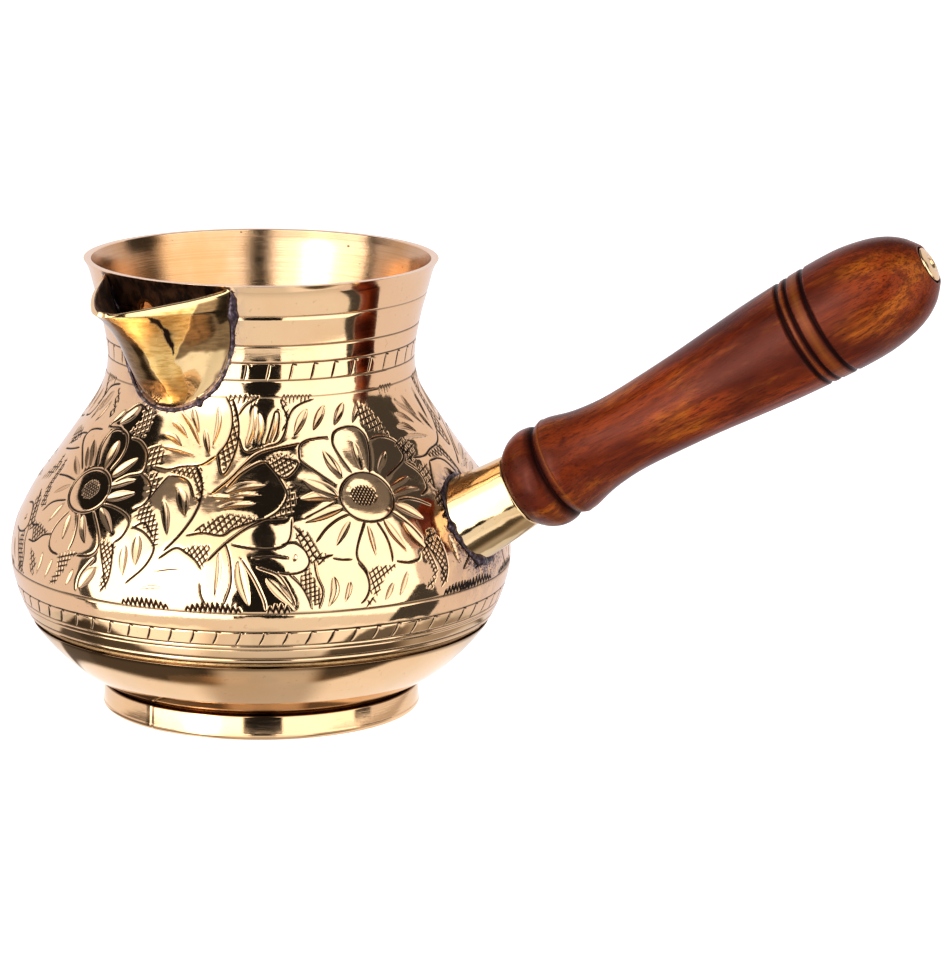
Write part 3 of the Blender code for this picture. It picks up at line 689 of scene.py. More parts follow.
GARDEN_CUTS = [
    (1.1, [(-100.2, 73), (-95, 70.4), (-90.6, 66.8)]), (1.4, [(-95.7, 73.9), (-94, 71.4), (-91.8, 69)]),
    (1.2, [(-86.3, 74.6), (-85.6, 71), (-86.4, 66.8)]), (1.2, [(-89.9, 69.8), (-88.6, 67.4), (-87, 65.1)]),
    (1, [(-102.6, 70.8), (-99, 69.8), (-95.2, 67.9)]),
    (1.4, [(-104.2, 68.2), (-100.4, 67.8), (-96.6, 66.2)]),
    (1.1, [(-103.4, 65.8), (-98, 65.6), (-92, 64.8)]), (1.4, [(-73.6, 74.6), (-73.8, 71), (-75.8, 66.6)]),
    (1.9, [(-72, 73.2), (-71.9, 70.4), (-72.6, 67.4)]), (1.3, [(-66, 73.4), (-67.2, 70.4), (-68.6, 67.6)]),
    (1.8, [(-80.6, 57.8), (-76, 59), (-69.6, 59.4)]), (1.4, [(-81.6, 54.9), (-78, 55.6), (-72.6, 55.8)]),
    (0.9, [(-84.6, 57), (-80, 57), (-75.4, 56.9)]), (0.9, [(-82.4, 56), (-77, 57.6), (-71, 57.4)]),
    (2.4, [(-94.2, 58.2), (-92.4, 56.4), (-90.6, 53.2)]), (1.7, [(-97.6, 55.7), (-95.8, 53), (-94, 48.9)]),
    (2.3, [(-101.8, 48.5), (-101.2, 45.6), (-100.7, 42.3)]),
    (2, [(-104.6, 46.2), (-104.2, 43), (-103.7, 39.8)]), (0.7, [(-96.2, 41.7), (-92, 42.6), (-88.3, 42.5)]),
    (0.7, [(-99.6, 37.7), (-95.6, 38.4), (-91.5, 38.3)]), (1.2, [(-80.8, 46.4), (-80.6, 42), (-81.2, 37)]),
    (2.4, [(-76.2, 44.6), (-75.4, 40.6), (-73.8, 35.4)]), (2, [(-70, 41.2), (-67.4, 38.8), (-63.8, 35)]),
    (1.2, [(-67.2, 40), (-65.4, 38.4), (-63.4, 35.8)]), (1.8, [(-54.8, 41.2), (-54.7, 38), (-56.2, 34.7)]),
    (1.2, [(-51, 40), (-51.5, 37.8), (-52.5, 35.4)]), (1.2, [(-40.4, 38.6), (-41.4, 37), (-42.6, 34.9)]),
    (1.1, [(-36.3, 40.5), (-37.6, 38), (-38.8, 35.6)]), (1.8, [(-54.8, 74), (-57, 72.2), (-60.4, 68.9)]),
    (1.7, [(-48.2, 74.6), (-50.2, 72.8), (-53.8, 69.7)]), (1.7, [(-40.4, 74.7), (-42.6, 73), (-46, 70.4)]),
    (1.3, [(-34.4, 74.2), (-36, 72.6), (-38.6, 70.6)]), (1.6, [(-124.6, 71.4), (-127, 69.6), (-129.4, 68)]),
    (2.6, [(-118.2, 72.6), (-121.6, 70.4), (-125, 68.4)]),
    (2.4, [(-111.4, 40.6), (-113.4, 38.6), (-115.7, 35.8)]),
    (1, [(-118, 39.1), (-119, 37.2), (-120.2, 35.4)]),
    (1.1, [(-136.3, 72.1), (-138, 69.8), (-140.6, 67.1)]),
    (1.2, [(-143, 71.9), (-144, 69.4), (-145.6, 67)]), (1, [(-130.6, 41), (-131, 38.4), (-132.6, 35.4)]),
    (1, [(-126.1, 40.2), (-127, 38), (-128.6, 35.4)]), (1.4, [(-63.9, 45.4), (-62.9, 45.2)]),
]
# Cross-hatched ground, each patch by its corners
GARDEN_HATCH = [
    [(-83.8, 76.4), (-81, 74.4), (-80.6, 71), (-81.8, 67.6), (-84.4, 65), (-82, 61.6), (-79.3, 65.6),
     (-78.6, 69.4), (-79.4, 73), (-81.2, 76.2)],
    [(-64.6, 76.2), (-62.8, 72), (-65.6, 68), (-62.4, 70.6), (-61, 73), (-62.6, 76.2)],
    [(-69.6, 63.8), (-64.6, 60.9), (-60, 63.6), (-62.6, 65), (-66, 65.2)],
    [(-66.6, 54.8), (-64.2, 57.4), (-64.3, 59.8), (-62.2, 58.2), (-61.6, 56.4), (-63, 54), (-69.6, 52.4)],
    [(-87.6, 50.2), (-84.8, 52.2), (-80, 54), (-74, 53.4), (-72, 52.9), (-77.6, 51.3), (-80.4, 50)],
    [(-90.6, 62.6), (-88.8, 62.4), (-87.2, 59.8), (-86.9, 56.6), (-88.3, 55), (-88.4, 58), (-90.6, 60.4),
     (-96, 60.8), (-98.4, 61.4)],
    [(-104.2, 60.4), (-100.4, 59.8), (-100.2, 57.8), (-102, 55.4), (-103.6, 57.4)],
    [(-104.4, 52.6), (-102, 55), (-99, 53), (-96.6, 50.4), (-96, 47), (-97.4, 46.6), (-98.6, 48.8),
     (-101.6, 50.2)], [(-90.4, 46.6), (-86.6, 47.6), (-83, 47.8), (-83.4, 45), (-84.4, 43), (-86.4, 44.6)],
    [(-61.8, 51.4), (-59.6, 50), (-57.6, 46.4), (-54.8, 45.4), (-58, 43.6), (-60, 44), (-61, 47),
     (-63.2, 49.6)],
    [(-62, 42.6), (-60.2, 43), (-58.6, 39.6), (-57.4, 37), (-58.8, 34.6), (-60.6, 36.8), (-62.6, 40)],
    [(-46.4, 41.6), (-44.8, 42.6), (-40, 42.4), (-38.6, 42.4), (-42.6, 39.6), (-44.6, 36.2), (-46.2, 36.8)],
    [(-48.2, 35), (-45.4, 36.2), (-44.8, 34.8), (-47, 34)],
    [(-31.4, 43.6), (-29.8, 41.6), (-29, 38.8), (-31.6, 36.4), (-29.6, 36), (-27.4, 39.6), (-29.2, 44.6),
     (-26.2, 47.6), (-27.6, 48.2)],
    [(-34.6, 74.4), (-30, 72.6), (-27, 70), (-25.4, 66.4), (-29, 68), (-33.6, 68.6), (-36, 71.4)],
    [(-23.6, 65.4), (-21, 64.4), (-19.6, 61), (-21, 60.6), (-23.6, 62.6)],
    [(-112, 46.4), (-109.4, 46.2), (-107.2, 46.2), (-107, 42), (-107.8, 37.4), (-109.8, 36.4),
     (-109.4, 40.8)],
    [(-108.2, 65), (-104.4, 66), (-100.4, 64), (-104, 61.6), (-106.6, 60.6), (-106.6, 62.2)],
    [(-124.8, 41.4), (-121, 42.6), (-117.2, 43.2), (-119.6, 41.4), (-121.4, 38.2), (-124.6, 34.8),
     (-127, 34.6), (-123.6, 38.4)],
    [(-139.4, 44.6), (-136.8, 46.2), (-131.2, 45.2), (-135, 43.4), (-137.2, 41.6)],
    [(-137.2, 40.6), (-134.8, 40), (-133, 38), (-134.4, 34.6), (-136, 35.6)],
    [(-144.6, 59.4), (-142.6, 58.4), (-142, 54), (-138.6, 49.6), (-140.8, 48.6), (-144.2, 53)],
    [(-118.6, 67.4), (-114.4, 66.6), (-111, 67), (-110.2, 70.8), (-113, 73.4), (-117.6, 73.4),
     (-115.6, 70.4)], [(-135, 76), (-132, 73.6), (-131, 69), (-133.2, 69.2), (-134.6, 72.8)],
    [(-145.6, 33.9), (-143, 37), (-139.8, 34)], [(-27.6, 48.4), (-24.6, 47.8), (-25, 46.4), (-29, 44.8)],
]
# Zigzags on the lower line and small twigs under the upper one: (from angle, to angle)
GARDEN_ZIGZAGS = [(-103.6, -92.0), (-88.0, -75.6), (-69.8, -64.8), (-26.0, -14.8)]
TWIG_TOPS = [(-82.6, -77.4), (-77.0, -73.0), (-63.8, -54.0), (-23.0, -17.0)]
# Bands of ticks: how many, each tick, the hook at its top, and the hook's width and depth
TICK_BANDS = [
    (44, [(0, 80.3), (0.7, 82), (1.2, 83.9)], [(1.1, 83.9), (2.8, 83.6)], 0.50, 0.14),
    (68, [(0, 26.2), (0.8, 27.7), (1.2, 29.1)], [(1.1, 29.2), (2.2, 29.0)], 0.45, 0.12),
]


def inside(points, corners):
    """Which points (n x 2) lie in the polygon."""
    x, y = points[:, 0], points[:, 1]
    found = np.zeros(len(points), bool)
    for (ax, ay), (bx, by) in zip(corners, corners[1:] + corners[:1]):
        if ay != by:
            crosses = (ay > y) != (by > y)
            found ^= crosses & (x < (bx - ax) * (y - ay) / (by - ay) + ax)
    return found


def hatch(cuts, corners, pitch, slant):
    """Two families of short lines over a patch, clipped to it."""
    middle = np.mean(corners, axis=0)
    scale = math.radians(1.0) * body_radius(middle[1])
    flat = [((a - middle[0]) * scale, h - middle[1]) for a, h in corners]
    size = max(math.hypot(*p) for p in flat) + 1
    for family, tilt in enumerate((slant, slant + 1.35)):
        way = np.array((math.cos(tilt), math.sin(tilt)))
        side = np.array((-way[1], way[0]))
        for k in range(int(-size / pitch), int(size / pitch) + 1):
            t = np.linspace(-size, size, int(size * 10))
            line = side * (k * pitch + 0.25 * family) + way * t[:, None]
            kept = inside(line, flat)
            edges = np.flatnonzero(np.diff(np.concatenate([[0], kept.astype(int), [0]])))
            for first, last in zip(edges[::2], edges[1::2]):
                if t[last - 1] - t[first] > 0.4:
                    ends = [line[first] - 0.15 * way, line[last - 1] + 0.15 * way]
                    cuts.append([(middle[0] + x / scale, middle[1] + y) for x, y in ends])


def garden_hatching():
    """All the strokes that follow rules: hatched patches, flower middles, zigzags and twigs."""
    cuts = []
    for number, corners in enumerate(GARDEN_HATCH):
        hatch(cuts, corners, 1.05 + 0.12 * math.sin(2.3 * number), 0.55 + 0.35 * math.sin(1.7 * number))
    for across, up, at in ((3.1, 1.8, (-122.6, 55.3)), (3.9, 2.0, (-42.8, 56.4))):
        hatch(cuts, oval(*at, across, up, 14)[:-1], 0.62, 0.75)
    for start, end in GARDEN_ZIGZAGS:
        count = round((end - start) / 1.15)
        for k in range(count):
            at = start + (end - start) * k / count
            top = 33.7 + 2.3 * math.sin(math.pi * (k + 0.7) / (count + 0.4)) ** 0.35
            for shift in (0.0, 0.22):
                cuts.append([(at + shift, 33.6), (at + 0.55 + shift, top)])
                cuts.append([(at + 0.55 + shift, top - 0.2), (at + 1.1 + shift, 33.8)])
    for start, end in TWIG_TOPS:
        count = round((end - start) / 1.5)
        for k in range(count + 1):
            at = start + (end - start) * k / count
            cuts.append([(at + 0.5, 77.0), (at - 0.1, 75.6 + 0.4 * math.sin(2.0 * k))])
            cuts.append([(at + 0.5, 77.0), (at + 1.3, 76.7)])
    return cuts


def engrave(engraving):
    """Cuts the whole design. The first of its four repeats is the side that the photo shows."""
    hatching = garden_hatching()
    starts = (FLOWER_A, FLOWER_B, *BACK_FLOWERS)
    for number, (start, end) in enumerate(zip(starts, (*starts[1:], FLOWER_A + 360.0))):
        stretch = (end - start) / FLOWER_GAP
        lines, cuts = GARDEN_LINES + FLOWER_B_LINES, FLOWER_B_CUTS
        if number == 0:
            lines, cuts = lines + FLOWER_A_LINES, cuts + FLOWER_A_CUTS
        mine = [(line, LINE_WIDTH, 0.20, 1.0) for line in lines]
        mine += [(line, HATCH_WIDTH, 0.14, 1.0) for line in hatching]
        mine += [(line, width * 1.1, 0.10 + 0.15 * width, 0.8, "gouge") for width, line in GARDEN_CUTS]
        mine += [(line, width * 1.1, 0.10 + 0.15 * width, 0.7, "gouge") for width, line in cuts]
        # A later repeat leaves out its first flower, which is cut already, and the last one leaves out both
        first = FLOWER_A + 12 if number else -180
        last = (-14, 0, 0, FLOWER_B - 14)[number]
        for line, *cut in mine:
            if first <= np.mean([angle for angle, _ in line]) <= last:
                engraving.stroke([(start + (a - FLOWER_A) * stretch, h) for a, h in line], *cut)
    for line in STEM_LINES:
        engraving.stroke(line, LINE_WIDTH, 0.20, 1.0)
    for count, tick, hook, width, depth in TICK_BANDS:
        for k in range(count):
            at = -151.0 + k * 360 / count
            engraving.stroke([(at + a, h) for a, h in tick], 0.56, 0.16, 1.0)
            engraving.stroke([(at + a, h) for a, h in hook], width, depth, 1.0)


def hole_places():
    """(angle in degrees, height) of the pouring holes' middles: one with six round it."""
    places = [(SPOUT_ANGLE, ROSETTE_HEIGHT)]
    for turn in np.arange(6) * math.tau / 6:
        height = ROSETTE_HEIGHT + HOLE_PITCH * math.sin(turn)
        aside = math.degrees(HOLE_PITCH * math.cos(turn) / body_radius(height))
        places.append((SPOUT_ANGLE + aside, height))
    return places


def hole_distance(angles, heights):
    """Distance in mm along the wall from each grid point to the nearest hole's middle."""
    nearest = np.full((len(heights), len(angles)), 1e9)
    for angle, height in hole_places():
        turn = (angles - angle + 180) % 360 - 180
        x = np.radians(turn)[None, :] * body_radius(height)
        nearest = np.minimum(nearest, np.hypot(x, heights[:, None] - height))
    return nearest


def hand_work(angles, heights):
    """Slight waves that the graver left in the sheet between the two border lines, in mm."""
    turn = np.radians(angles)[None, :]
    level = heights[:, None]
    wave = np.zeros((len(heights), len(angles)))
    for turns, climb, shift, size in ((11, 0.31, 0.4, 1.0), (17, -0.45, 1.9, 0.8), (29, 0.62, 3.1, 0.5),
                                      (37, -0.83, 5.2, 0.4), (53, 1.05, 0.9, 0.25)):
        wave += size * np.sin(turns * turn + climb * level + shift + 1.3 * np.sin(3 * turn + 0.11 * level))
    inside_borders = np.clip((level - 33.5) / 5, 0, 1) * np.clip((76.5 - level) / 5, 0, 1)
    return (0.022 * wave + 0.03) * inside_borders


def soldered_zones(points):
    """(soot, stain) at each grid point: soot within the spout, stain near the spout and the socket."""
    x, y, z = np.moveaxis(points, -1, 0)
    turn = (np.degrees(np.arctan2(y, x)) - SPOUT_ANGLE + 180) % 360 - 180
    depth = np.clip((SPOUT_SHOULDER - z) / (SPOUT_SHOULDER - SPOUT_BOTTOM), 0, 2)
    half = math.degrees(SPOUT_HALF_ANGLE)
    level = (turn / half) ** 2 + depth ** SPOUT_ROUNDNESS
    per_mm = math.degrees(1) / body_radius(z)
    rise = SPOUT_ROUNDNESS * depth ** (SPOUT_ROUNDNESS - 1) / (SPOUT_SHOULDER - SPOUT_BOTTOM)
    away = (level - 1) / np.maximum(np.hypot(2 * turn / half ** 2 * per_mm, rise), 0.02)
    soot = np.clip(0.5 - away / 0.6, 0, 1)
    stain = np.exp(-(np.clip(away, 0, None) / 1.5) ** 1.3)
    cosine, sine = math.cos(HANDLE_RISE), math.sin(HANDLE_RISE)
    along = x * cosine + (z - HANDLE_ROOT) * sine
    up = -x * sine + (z - HANDLE_ROOT) * cosine
    off_socket = np.clip(np.hypot(y - HANDLE_OFFSET, up) - socket_radius(along), 0, None)
    round_socket = np.exp(-(off_socket / np.where(z < 48, 5.0, 2.6)) ** 1.5)
    return soot, np.maximum(stain, np.where(x > 0, round_socket, 0.0))


def make_upper_body():
    angles, heights = grid_angles(), grid_heights()
    engraving = Engraving(angles, heights)
    engrave(engraving)
    for line in RING_LINES:
        engraving.ring(*line)
    depth = engraving.depth + hand_work(angles, heights)
    radial, vertical = (part[:, None] for part in body_normal(heights))
    turn = np.radians(angles)
    outer = round_z(engraving.radii[:, None] - depth * radial, turn, heights[:, None] - depth * vertical)
    soot, stain = soldered_zones(outer)
    wall = wall_line(np.linspace(RIM_TOP - 1.0, SEAM_TOP + 0.5, 90), WALL)
    rim = rounded([(body_radius(heights[-1]), heights[-1], 0), (body_radius(RIM_TOP), RIM_TOP, 0.62),
                   (wall[0, 0] + 0.12, RIM_TOP, 0.55), (*wall[0], 0)], 8)[1:-1]
    edge, inner = (round_z(line[:, :1], turn, line[:, 1:]) for line in (rim, wall))
    parts, faces, slots, values = [], [], [], []

    def strip(points, material, holes=None, fill=0.0, soot=0.0, stain=0.0):
        """Adds a grid of points; faces that touch a point in a hole are left out."""
        first = sum(map(len, parts))
        made = quads(*points.shape[:2], first=first)
        if holes is not None:
            made = made[~holes.ravel()[made - first].any(1)]
        parts.append(points.reshape(-1, 3))
        faces.append(made)
        slots.append(np.full(len(made), material))
        values.append([np.broadcast_to(value, points.shape[:2]).ravel() for value in (fill, soot, stain)])

    # The engraved face, the rounded rim, then the plain inside and the edge at the seam on fewer columns
    few = slice(None, None, 4)
    strip(outer, 0, hole_distance(angles, heights) < HOLE_RADIUS + 0.12, engraving.fill, soot, stain)
    strip(np.concatenate([outer[-1:], edge]), 0)
    inside_wall = np.concatenate([edge[-1:], inner])[:, few]
    strip(inside_wall, 1, hole_distance(angles[few], inside_wall[:, 0, 2]) < HOLE_RADIUS + 0.25)
    strip(np.concatenate([inner[-1:], outer[:1]])[:, few], 0)
    # Walls of the holes, with a drilled edge that laps over both faces of the sheet
    around = np.arange(40) * math.tau / 40
    for angle, height in hole_places():
        rings = []
        for size, deep in ((0.75, -0.02), (0.4, -0.05), (0.12, 0.02), (0.0, 0.16), (0.0, WALL - 0.1),
                           (0.15, WALL + 0.03), (0.75, WALL + 0.03)):
            size += HOLE_RADIUS
            line = wall_line(height + size * np.sin(around), deep)
            place = math.radians(angle) + size * np.cos(around) / body_radius(height)
            rings.append(round_z(line[:, 0], place, line[:, 1]))
        strip(np.array(rings), 1, soot=1.0)
    layers = dict(zip(("fill", "soot", "stain"), map(np.concatenate, zip(*values))))
    return mesh_object("upper_body_engraved", np.concatenate(parts), np.concatenate(faces),
                       [BODY_BRASS, INSIDE_BRASS], np.concatenate(slots), layers)


# Bowl, braze and foot

def make_lower_bowl():
    top = SEAM_TOP - SEAM_GROOVE
    inset = WALL + GAP
    spigot = wall_line(np.array([SEAM_TOP + 4.0, SEAM_TOP, top]), inset)
    core = FOOT_RADIUS - FOOT_BAND - GAP
    heights = np.linspace(top - 0.3, FOOT_HEIGHT + 1.2, 60)
    outer = np.stack([body_radius(heights), heights], 1)
    outside = rounded([(spigot[0, 0], SEAM_TOP + 4.0, 0.2), (spigot[2, 0], top + 0.1, 0.2),
                       (body_radius(top) - 0.02, top, 0.3), (*outer[0], 0)], 6)
    foot = rounded([(*outer[-1], 0), (core, FOOT_HEIGHT + GAP, 0.5), (core, 0.0, 0.6), (core - 3.0, 0.0, 0.2),
                    (POLE, 0.0, 0)], 6)
    inner = wall_line(np.linspace(FOOT_HEIGHT + 2.4, top - 3.0, 40), WALL)
    upper = wall_line(np.array([SEAM_TOP - 1.0, SEAM_TOP + 4.0]), inset + 1.0)
    floor = rounded([(POLE, WALL, 0), (core - 3.0, WALL, 1.5), (core - WALL, 2.6, 1.5), (*inner[0], 0)], 6)
    line = filled_in(np.concatenate([outside, outer[1:], foot[1:], floor, inner[1:], upper]), 0.9)
    radius, height = line.T
    corner = np.clip(1 - (height - FOOT_HEIGHT) / 3.6, 0, 1) ** 1.5
    corner *= (radius > core + 0.5) * (height > FOOT_HEIGHT - 1)
    tarnish_and_painted_reflection = np.maximum(0.95 * corner, 0.75 * np.clip((height - top + 0.9) / 0.5, 0, 1))
    return lathe("lower_bowl_spun", line, 300, [BOWL_BRASS], values={"tarnish_and_painted_reflection": tarnish_and_painted_reflection})


def make_body_braze():
    top, bottom = SEAM_TOP - GAP, SEAM_TOP - SEAM_GROOVE + GAP
    outer, inner = body_radius(bottom) - GAP, body_radius(top) - WALL
    line = rounded([(outer, top, 0.2), (outer, bottom, 0.2), (inner, bottom, 0), (inner, top, 0),
                    (outer, top, 0)], 5)

    def uneven(grid, angles):
        lump = rough_field(grid[:1], 5.0, 3.0)[0]
        radius = np.hypot(grid[..., 0], grid[..., 1])
        grid[..., :2] *= (1 + np.where(radius > outer - 0.8, -0.004 * (1 + lump), 0.0))[..., None]
        return grid

    return lathe("body_braze_ring", filled_in(line, 0.3)[:-1], 260, [BRAZE], shape=uneven)


def make_foot_ring():
    inner = FOOT_RADIUS - FOOT_BAND
    line = rounded([
        (inner + 0.9, FOOT_HEIGHT, 0), (FOOT_RADIUS - 0.25, FOOT_HEIGHT, 0.35),
        (FOOT_RADIUS - 0.10, 1.35, 0.1), (FOOT_RADIUS, 1.2, 0.1), (FOOT_RADIUS, 0.5, 0.3),
        (FOOT_RADIUS - 0.5, 0.0, 0.3), (inner, 0.0, 0.3), (inner, FOOT_HEIGHT - 0.6, 0.3),
        (inner + 0.9, FOOT_HEIGHT, 0),
    ], 6)[:-1]
    line = filled_in(line, 0.8)

    def lapped(grid, angles):
        """The band's overlap: a small step where one end lies over the other."""
        turn = (np.degrees(angles) - LAP_ANGLE + 180) % 360 - 180
        step = 0.16 * np.clip(turn / 0.5, 0, 1) * np.clip((9 - turn) / 8, 0, 1)
        groove = 0.22 * np.clip(1 - np.abs(turn + 0.1) / 0.45, 0, 1)
        radius = np.hypot(grid[..., 0], grid[..., 1])
        outward = np.where(radius > FOOT_RADIUS - 0.7, -0.16 + step - groove, 0.0)
        grid[..., :2] *= (1 + outward / radius)[..., None]
        return grid

    tarnish_and_painted_reflection = 0.85 * np.clip((line[:, 1] - FOOT_HEIGHT + 0.35) / 0.3, 0, 1)
    return lathe("foot_ring_band", line, 720, [BOWL_BRASS], shape=lapped, values={"tarnish_and_painted_reflection": tarnish_and_painted_reflection})


# Spout

def keel_radius(height):
    return np.interp(height, KEEL_CURVE[:, 1], KEEL_CURVE[:, 0])


def seam_half_angle(height):
    depth = np.clip((SPOUT_SHOULDER - height) / (SPOUT_SHOULDER - SPOUT_BOTTOM), 0, 1)
    return SPOUT_HALF_ANGLE * np.sqrt(np.clip(1 - depth ** SPOUT_ROUNDNESS, 0, 1))


def bezier(a, b, c, d, t):
    rest = 1 - t
    return a * rest ** 3 + 3 * b * rest ** 2 * t + 3 * c * rest * t ** 2 + d * t ** 3


def spout_place(height, side):
    """Points of the spout's outer face, x along the spout and y to its left."""
    half = seam_half_angle(height)
    neck = body_radius(height)
    seam_x, seam_y = neck * np.cos(half), neck * np.sin(half)
    keel = keel_radius(height)
    rise = np.clip((height - SPOUT_BOTTOM) / (LIP_TIP_HEIGHT - SPOUT_BOTTOM), 0, 1)
    reach = keel - seam_x
    ridge_width = RIDGE_WIDTH_LOW + (RIDGE_WIDTH_HIGH - RIDGE_WIDTH_LOW) * rise
    across = np.abs(side)
    along = np.hypot(side, RIDGE_ROUNDING) - RIDGE_ROUNDING
    along /= math.hypot(1, RIDGE_ROUNDING) - RIDGE_ROUNDING
    x = bezier(keel, keel - 0.10 * reach * rise, seam_x + CHEEK_REACH * reach, seam_x, along)
    hollow = CHEEK_HOLLOW_LOW + (CHEEK_HOLLOW_HIGH - CHEEK_HOLLOW_LOW) * rise ** 1.6
    y = bezier(0.0, ridge_width * seam_y, hollow * seam_y, seam_y, across)
    return np.stack([x, y * np.sign(side), height], -1)


def spout_frame(points):
    """Points from the spout's own directions to the row frame."""
    turn = math.radians(SPOUT_ANGLE)
    x = points[..., 0] * math.cos(turn) - points[..., 1] * math.sin(turn)
    y = points[..., 0] * math.sin(turn) + points[..., 1] * math.cos(turn)
    return np.stack([x, y, points[..., 2]], -1)


def grid_normals(grid):
    normal = np.cross(np.gradient(grid, axis=1), np.gradient(grid, axis=0))
    return normal / np.maximum(np.linalg.norm(normal, axis=-1, keepdims=True), 1e-9)


def make_spout():
    sides = np.linspace(-1, 1, 181)[None, :]
    levels = np.linspace(0, 1, 110)[:, None]
    lip = LIP_TIP_HEIGHT + (LIP_ROOT_HEIGHT - LIP_TIP_HEIGHT) * np.abs(sides) ** LIP_BEND
    height = (SPOUT_BOTTOM + 0.35) + (lip - SPOUT_BOTTOM - 0.35) * levels
    outer = spout_place(height, np.broadcast_to(sides, height.shape))
    outward = grid_normals(outer)
    outward *= np.sign(outward[60, 90, 0])
    dents = rough_field(outer, 9.0, 1.0) * 0.16 + rough_field(outer, 3.5, 2.0) * 0.03
    outer += outward * (dents * np.clip(1.6 * (1 - np.abs(sides) ** 6), 0, 1))[..., None]
    inner = outer - outward * SPOUT_SHEET
    # The inner face stays outside the neck's wall
    neck = body_radius(inner[..., 2]) + 0.15
    inner[..., :2] *= np.maximum(neck / np.hypot(inner[..., 0], inner[..., 1]), 1.0)[..., None]
    # Rounded edge of the lips, from the outer face over to the inner one
    t = np.linspace(0, math.pi, 9)[1:-1, None, None]
    edge = outer[-1] + (inner[-1] - outer[-1]) * (1 - np.cos(t)) / 2
    edge += np.array((0.0, 0.0, 0.32)) * np.sin(t)
    grid = np.concatenate([outer, edge, inner[::-1]])
    faces = quads(*grid.shape[:2], across=False)
    outside = len(outer) + len(edge) // 2 + 1
    slots = np.where(faces[:, 0] // grid.shape[1] < outside, 0, 1)
    # Painted reflections on the outer face: a bright gold reflection along the ridge, dark brown reflections
    # on the upper right side and on the left of the ridge, and a dark curved reflection on the upper right
    # side. The edges along the seam are darkened, and the lip's edge is left clear
    ragged = 0.05 * rough_field(outer, 4.0, 7.0) + 0.02 * rough_field(outer, 1.6, 8.0)
    side = sides + ragged
    level = levels + ragged
    left = 0.08 + 0.35 * np.clip(1 - level, 0, 1) ** 2
    right = 0.50 + 0.50 * np.abs(level - 0.5)
    past_left, past_right = (smooth_step(side, edge - 0.012, edge + 0.012) for edge in (left, right))
    # A bright gold reflection painted along the ridge, stopping just below the lip
    painted_gold_reflection = past_left * (1 - past_right) * (1 - smooth_step(levels, 0.950, 0.970))
    # Dark brown reflections painted on the upper right side and on the left of the ridge
    cheek_painted_reflection = past_right * smooth_step(level, 0.50, 0.54)
    flank_painted_reflection = (1 - past_left) * smooth_step(side, -0.40, -0.32) * smooth_step(level, 0.04, 0.14)
    painted_reflections_and_seam_edges = np.maximum(0.92 * cheek_painted_reflection, 0.90 * flank_painted_reflection)
    # A dark curved reflection painted on the upper right side
    middle = np.clip((level - 0.57) / 0.36, 0, 1)
    painted_crescent_reflection = np.abs(side - 0.5 + 0.1 * middle ** 3) / (0.01 + 0.03 * np.sin(math.pi * middle))
    painted_crescent_reflection = np.clip(2.2 - 1.8 * painted_crescent_reflection, 0, 1) * (np.abs(level - 0.75) < 0.185)
    # Darker along the seam edges on both sides, then the lip's edge is left clear
    painted_reflections_and_seam_edges = np.maximum(painted_reflections_and_seam_edges, 0.7 * smooth_step(np.abs(side), 0.93, 0.985))
    painted_reflections_and_seam_edges *= 1 - smooth_step(levels, 0.965, 0.985)
    rest = np.zeros((len(grid) - len(outer), sides.shape[1]))
    # The brown attribute carries the painted reflections and the darker seam edges, and the dark one carries
    # the curved reflection
    zones = {"tarnish_and_painted_reflection": painted_reflections_and_seam_edges, "fill": painted_crescent_reflection, "painted_gold_reflection": painted_gold_reflection}
    zones = {name: np.concatenate([zone, rest]) for name, zone in zones.items()}
    return mesh_object("spout_folded", spout_frame(grid).reshape(-1, 3), faces, [SPOUT_BRASS, SMOKED_BRASS],
                       slots, zones)


def bead(name, path, sizes, normals, flatten, seed, lumps, closed=False):
    """A run of solder: a flattened, lumpy round cord along a path on the sheets."""
    ahead = np.gradient(path, axis=0)
    ahead /= np.linalg.norm(ahead, axis=1, keepdims=True)
    side = np.cross(ahead, normals)
    side /= np.linalg.norm(side, axis=1, keepdims=True)
    up = np.cross(side, ahead)
    turns = (np.arange(28) * math.tau / 28)[None, :, None]
    round_way = side[:, None] * np.cos(turns) + flatten * up[:, None] * np.sin(turns)
    grid = path[:, None] + sizes[:, None, None] * round_way
    lump = rough_field(grid, 2.2, seed) * lumps + rough_field(grid, 0.9, seed + 3) * lumps * 0.4
    grid = path[:, None] + (grid - path[:, None]) * (1 + lump[..., None])
    return mesh_object(name, grid.reshape(-1, 3), quads(*grid.shape[:2], along=closed), [SOLDER])


def make_spout_solder():
    turn = np.linspace(-math.pi / 2, math.pi / 2, 520)
    depth = SPOUT_SHOULDER - SPOUT_BOTTOM + 0.5
    over = np.clip(np.abs(turn) / (math.pi / 2) * 9 - 8, 0, 1)
    height = SPOUT_SHOULDER + 3.6 * over - depth * np.clip(np.cos(turn), 0, 1) ** (2 / SPOUT_ROUNDNESS)
    radial, vertical = body_normal(height)
    angle = math.radians(SPOUT_ANGLE) + (SPOUT_HALF_ANGLE + math.radians(0.6)) * np.sin(turn)
    path = round_z(body_radius(height) + 0.25 * radial, angle, height + 0.25 * vertical)
    sizes = 0.34 + 0.06 * np.sin(turn * 11)
    for size, at, width in ((0.85, 1.50, 0.06), (0.65, 0.52, 0.045), (0.15, 0.9, 0.2)):
        sizes += size * np.exp(-((turn - at) / width) ** 2)
    sizes *= np.clip((math.pi / 2 - np.abs(turn)) / 0.02, 0.05, 1) ** 0.5
    return bead("spout_solder_bead", path, sizes, round_z(radial, angle, vertical), 0.7, 4.0, 0.45)


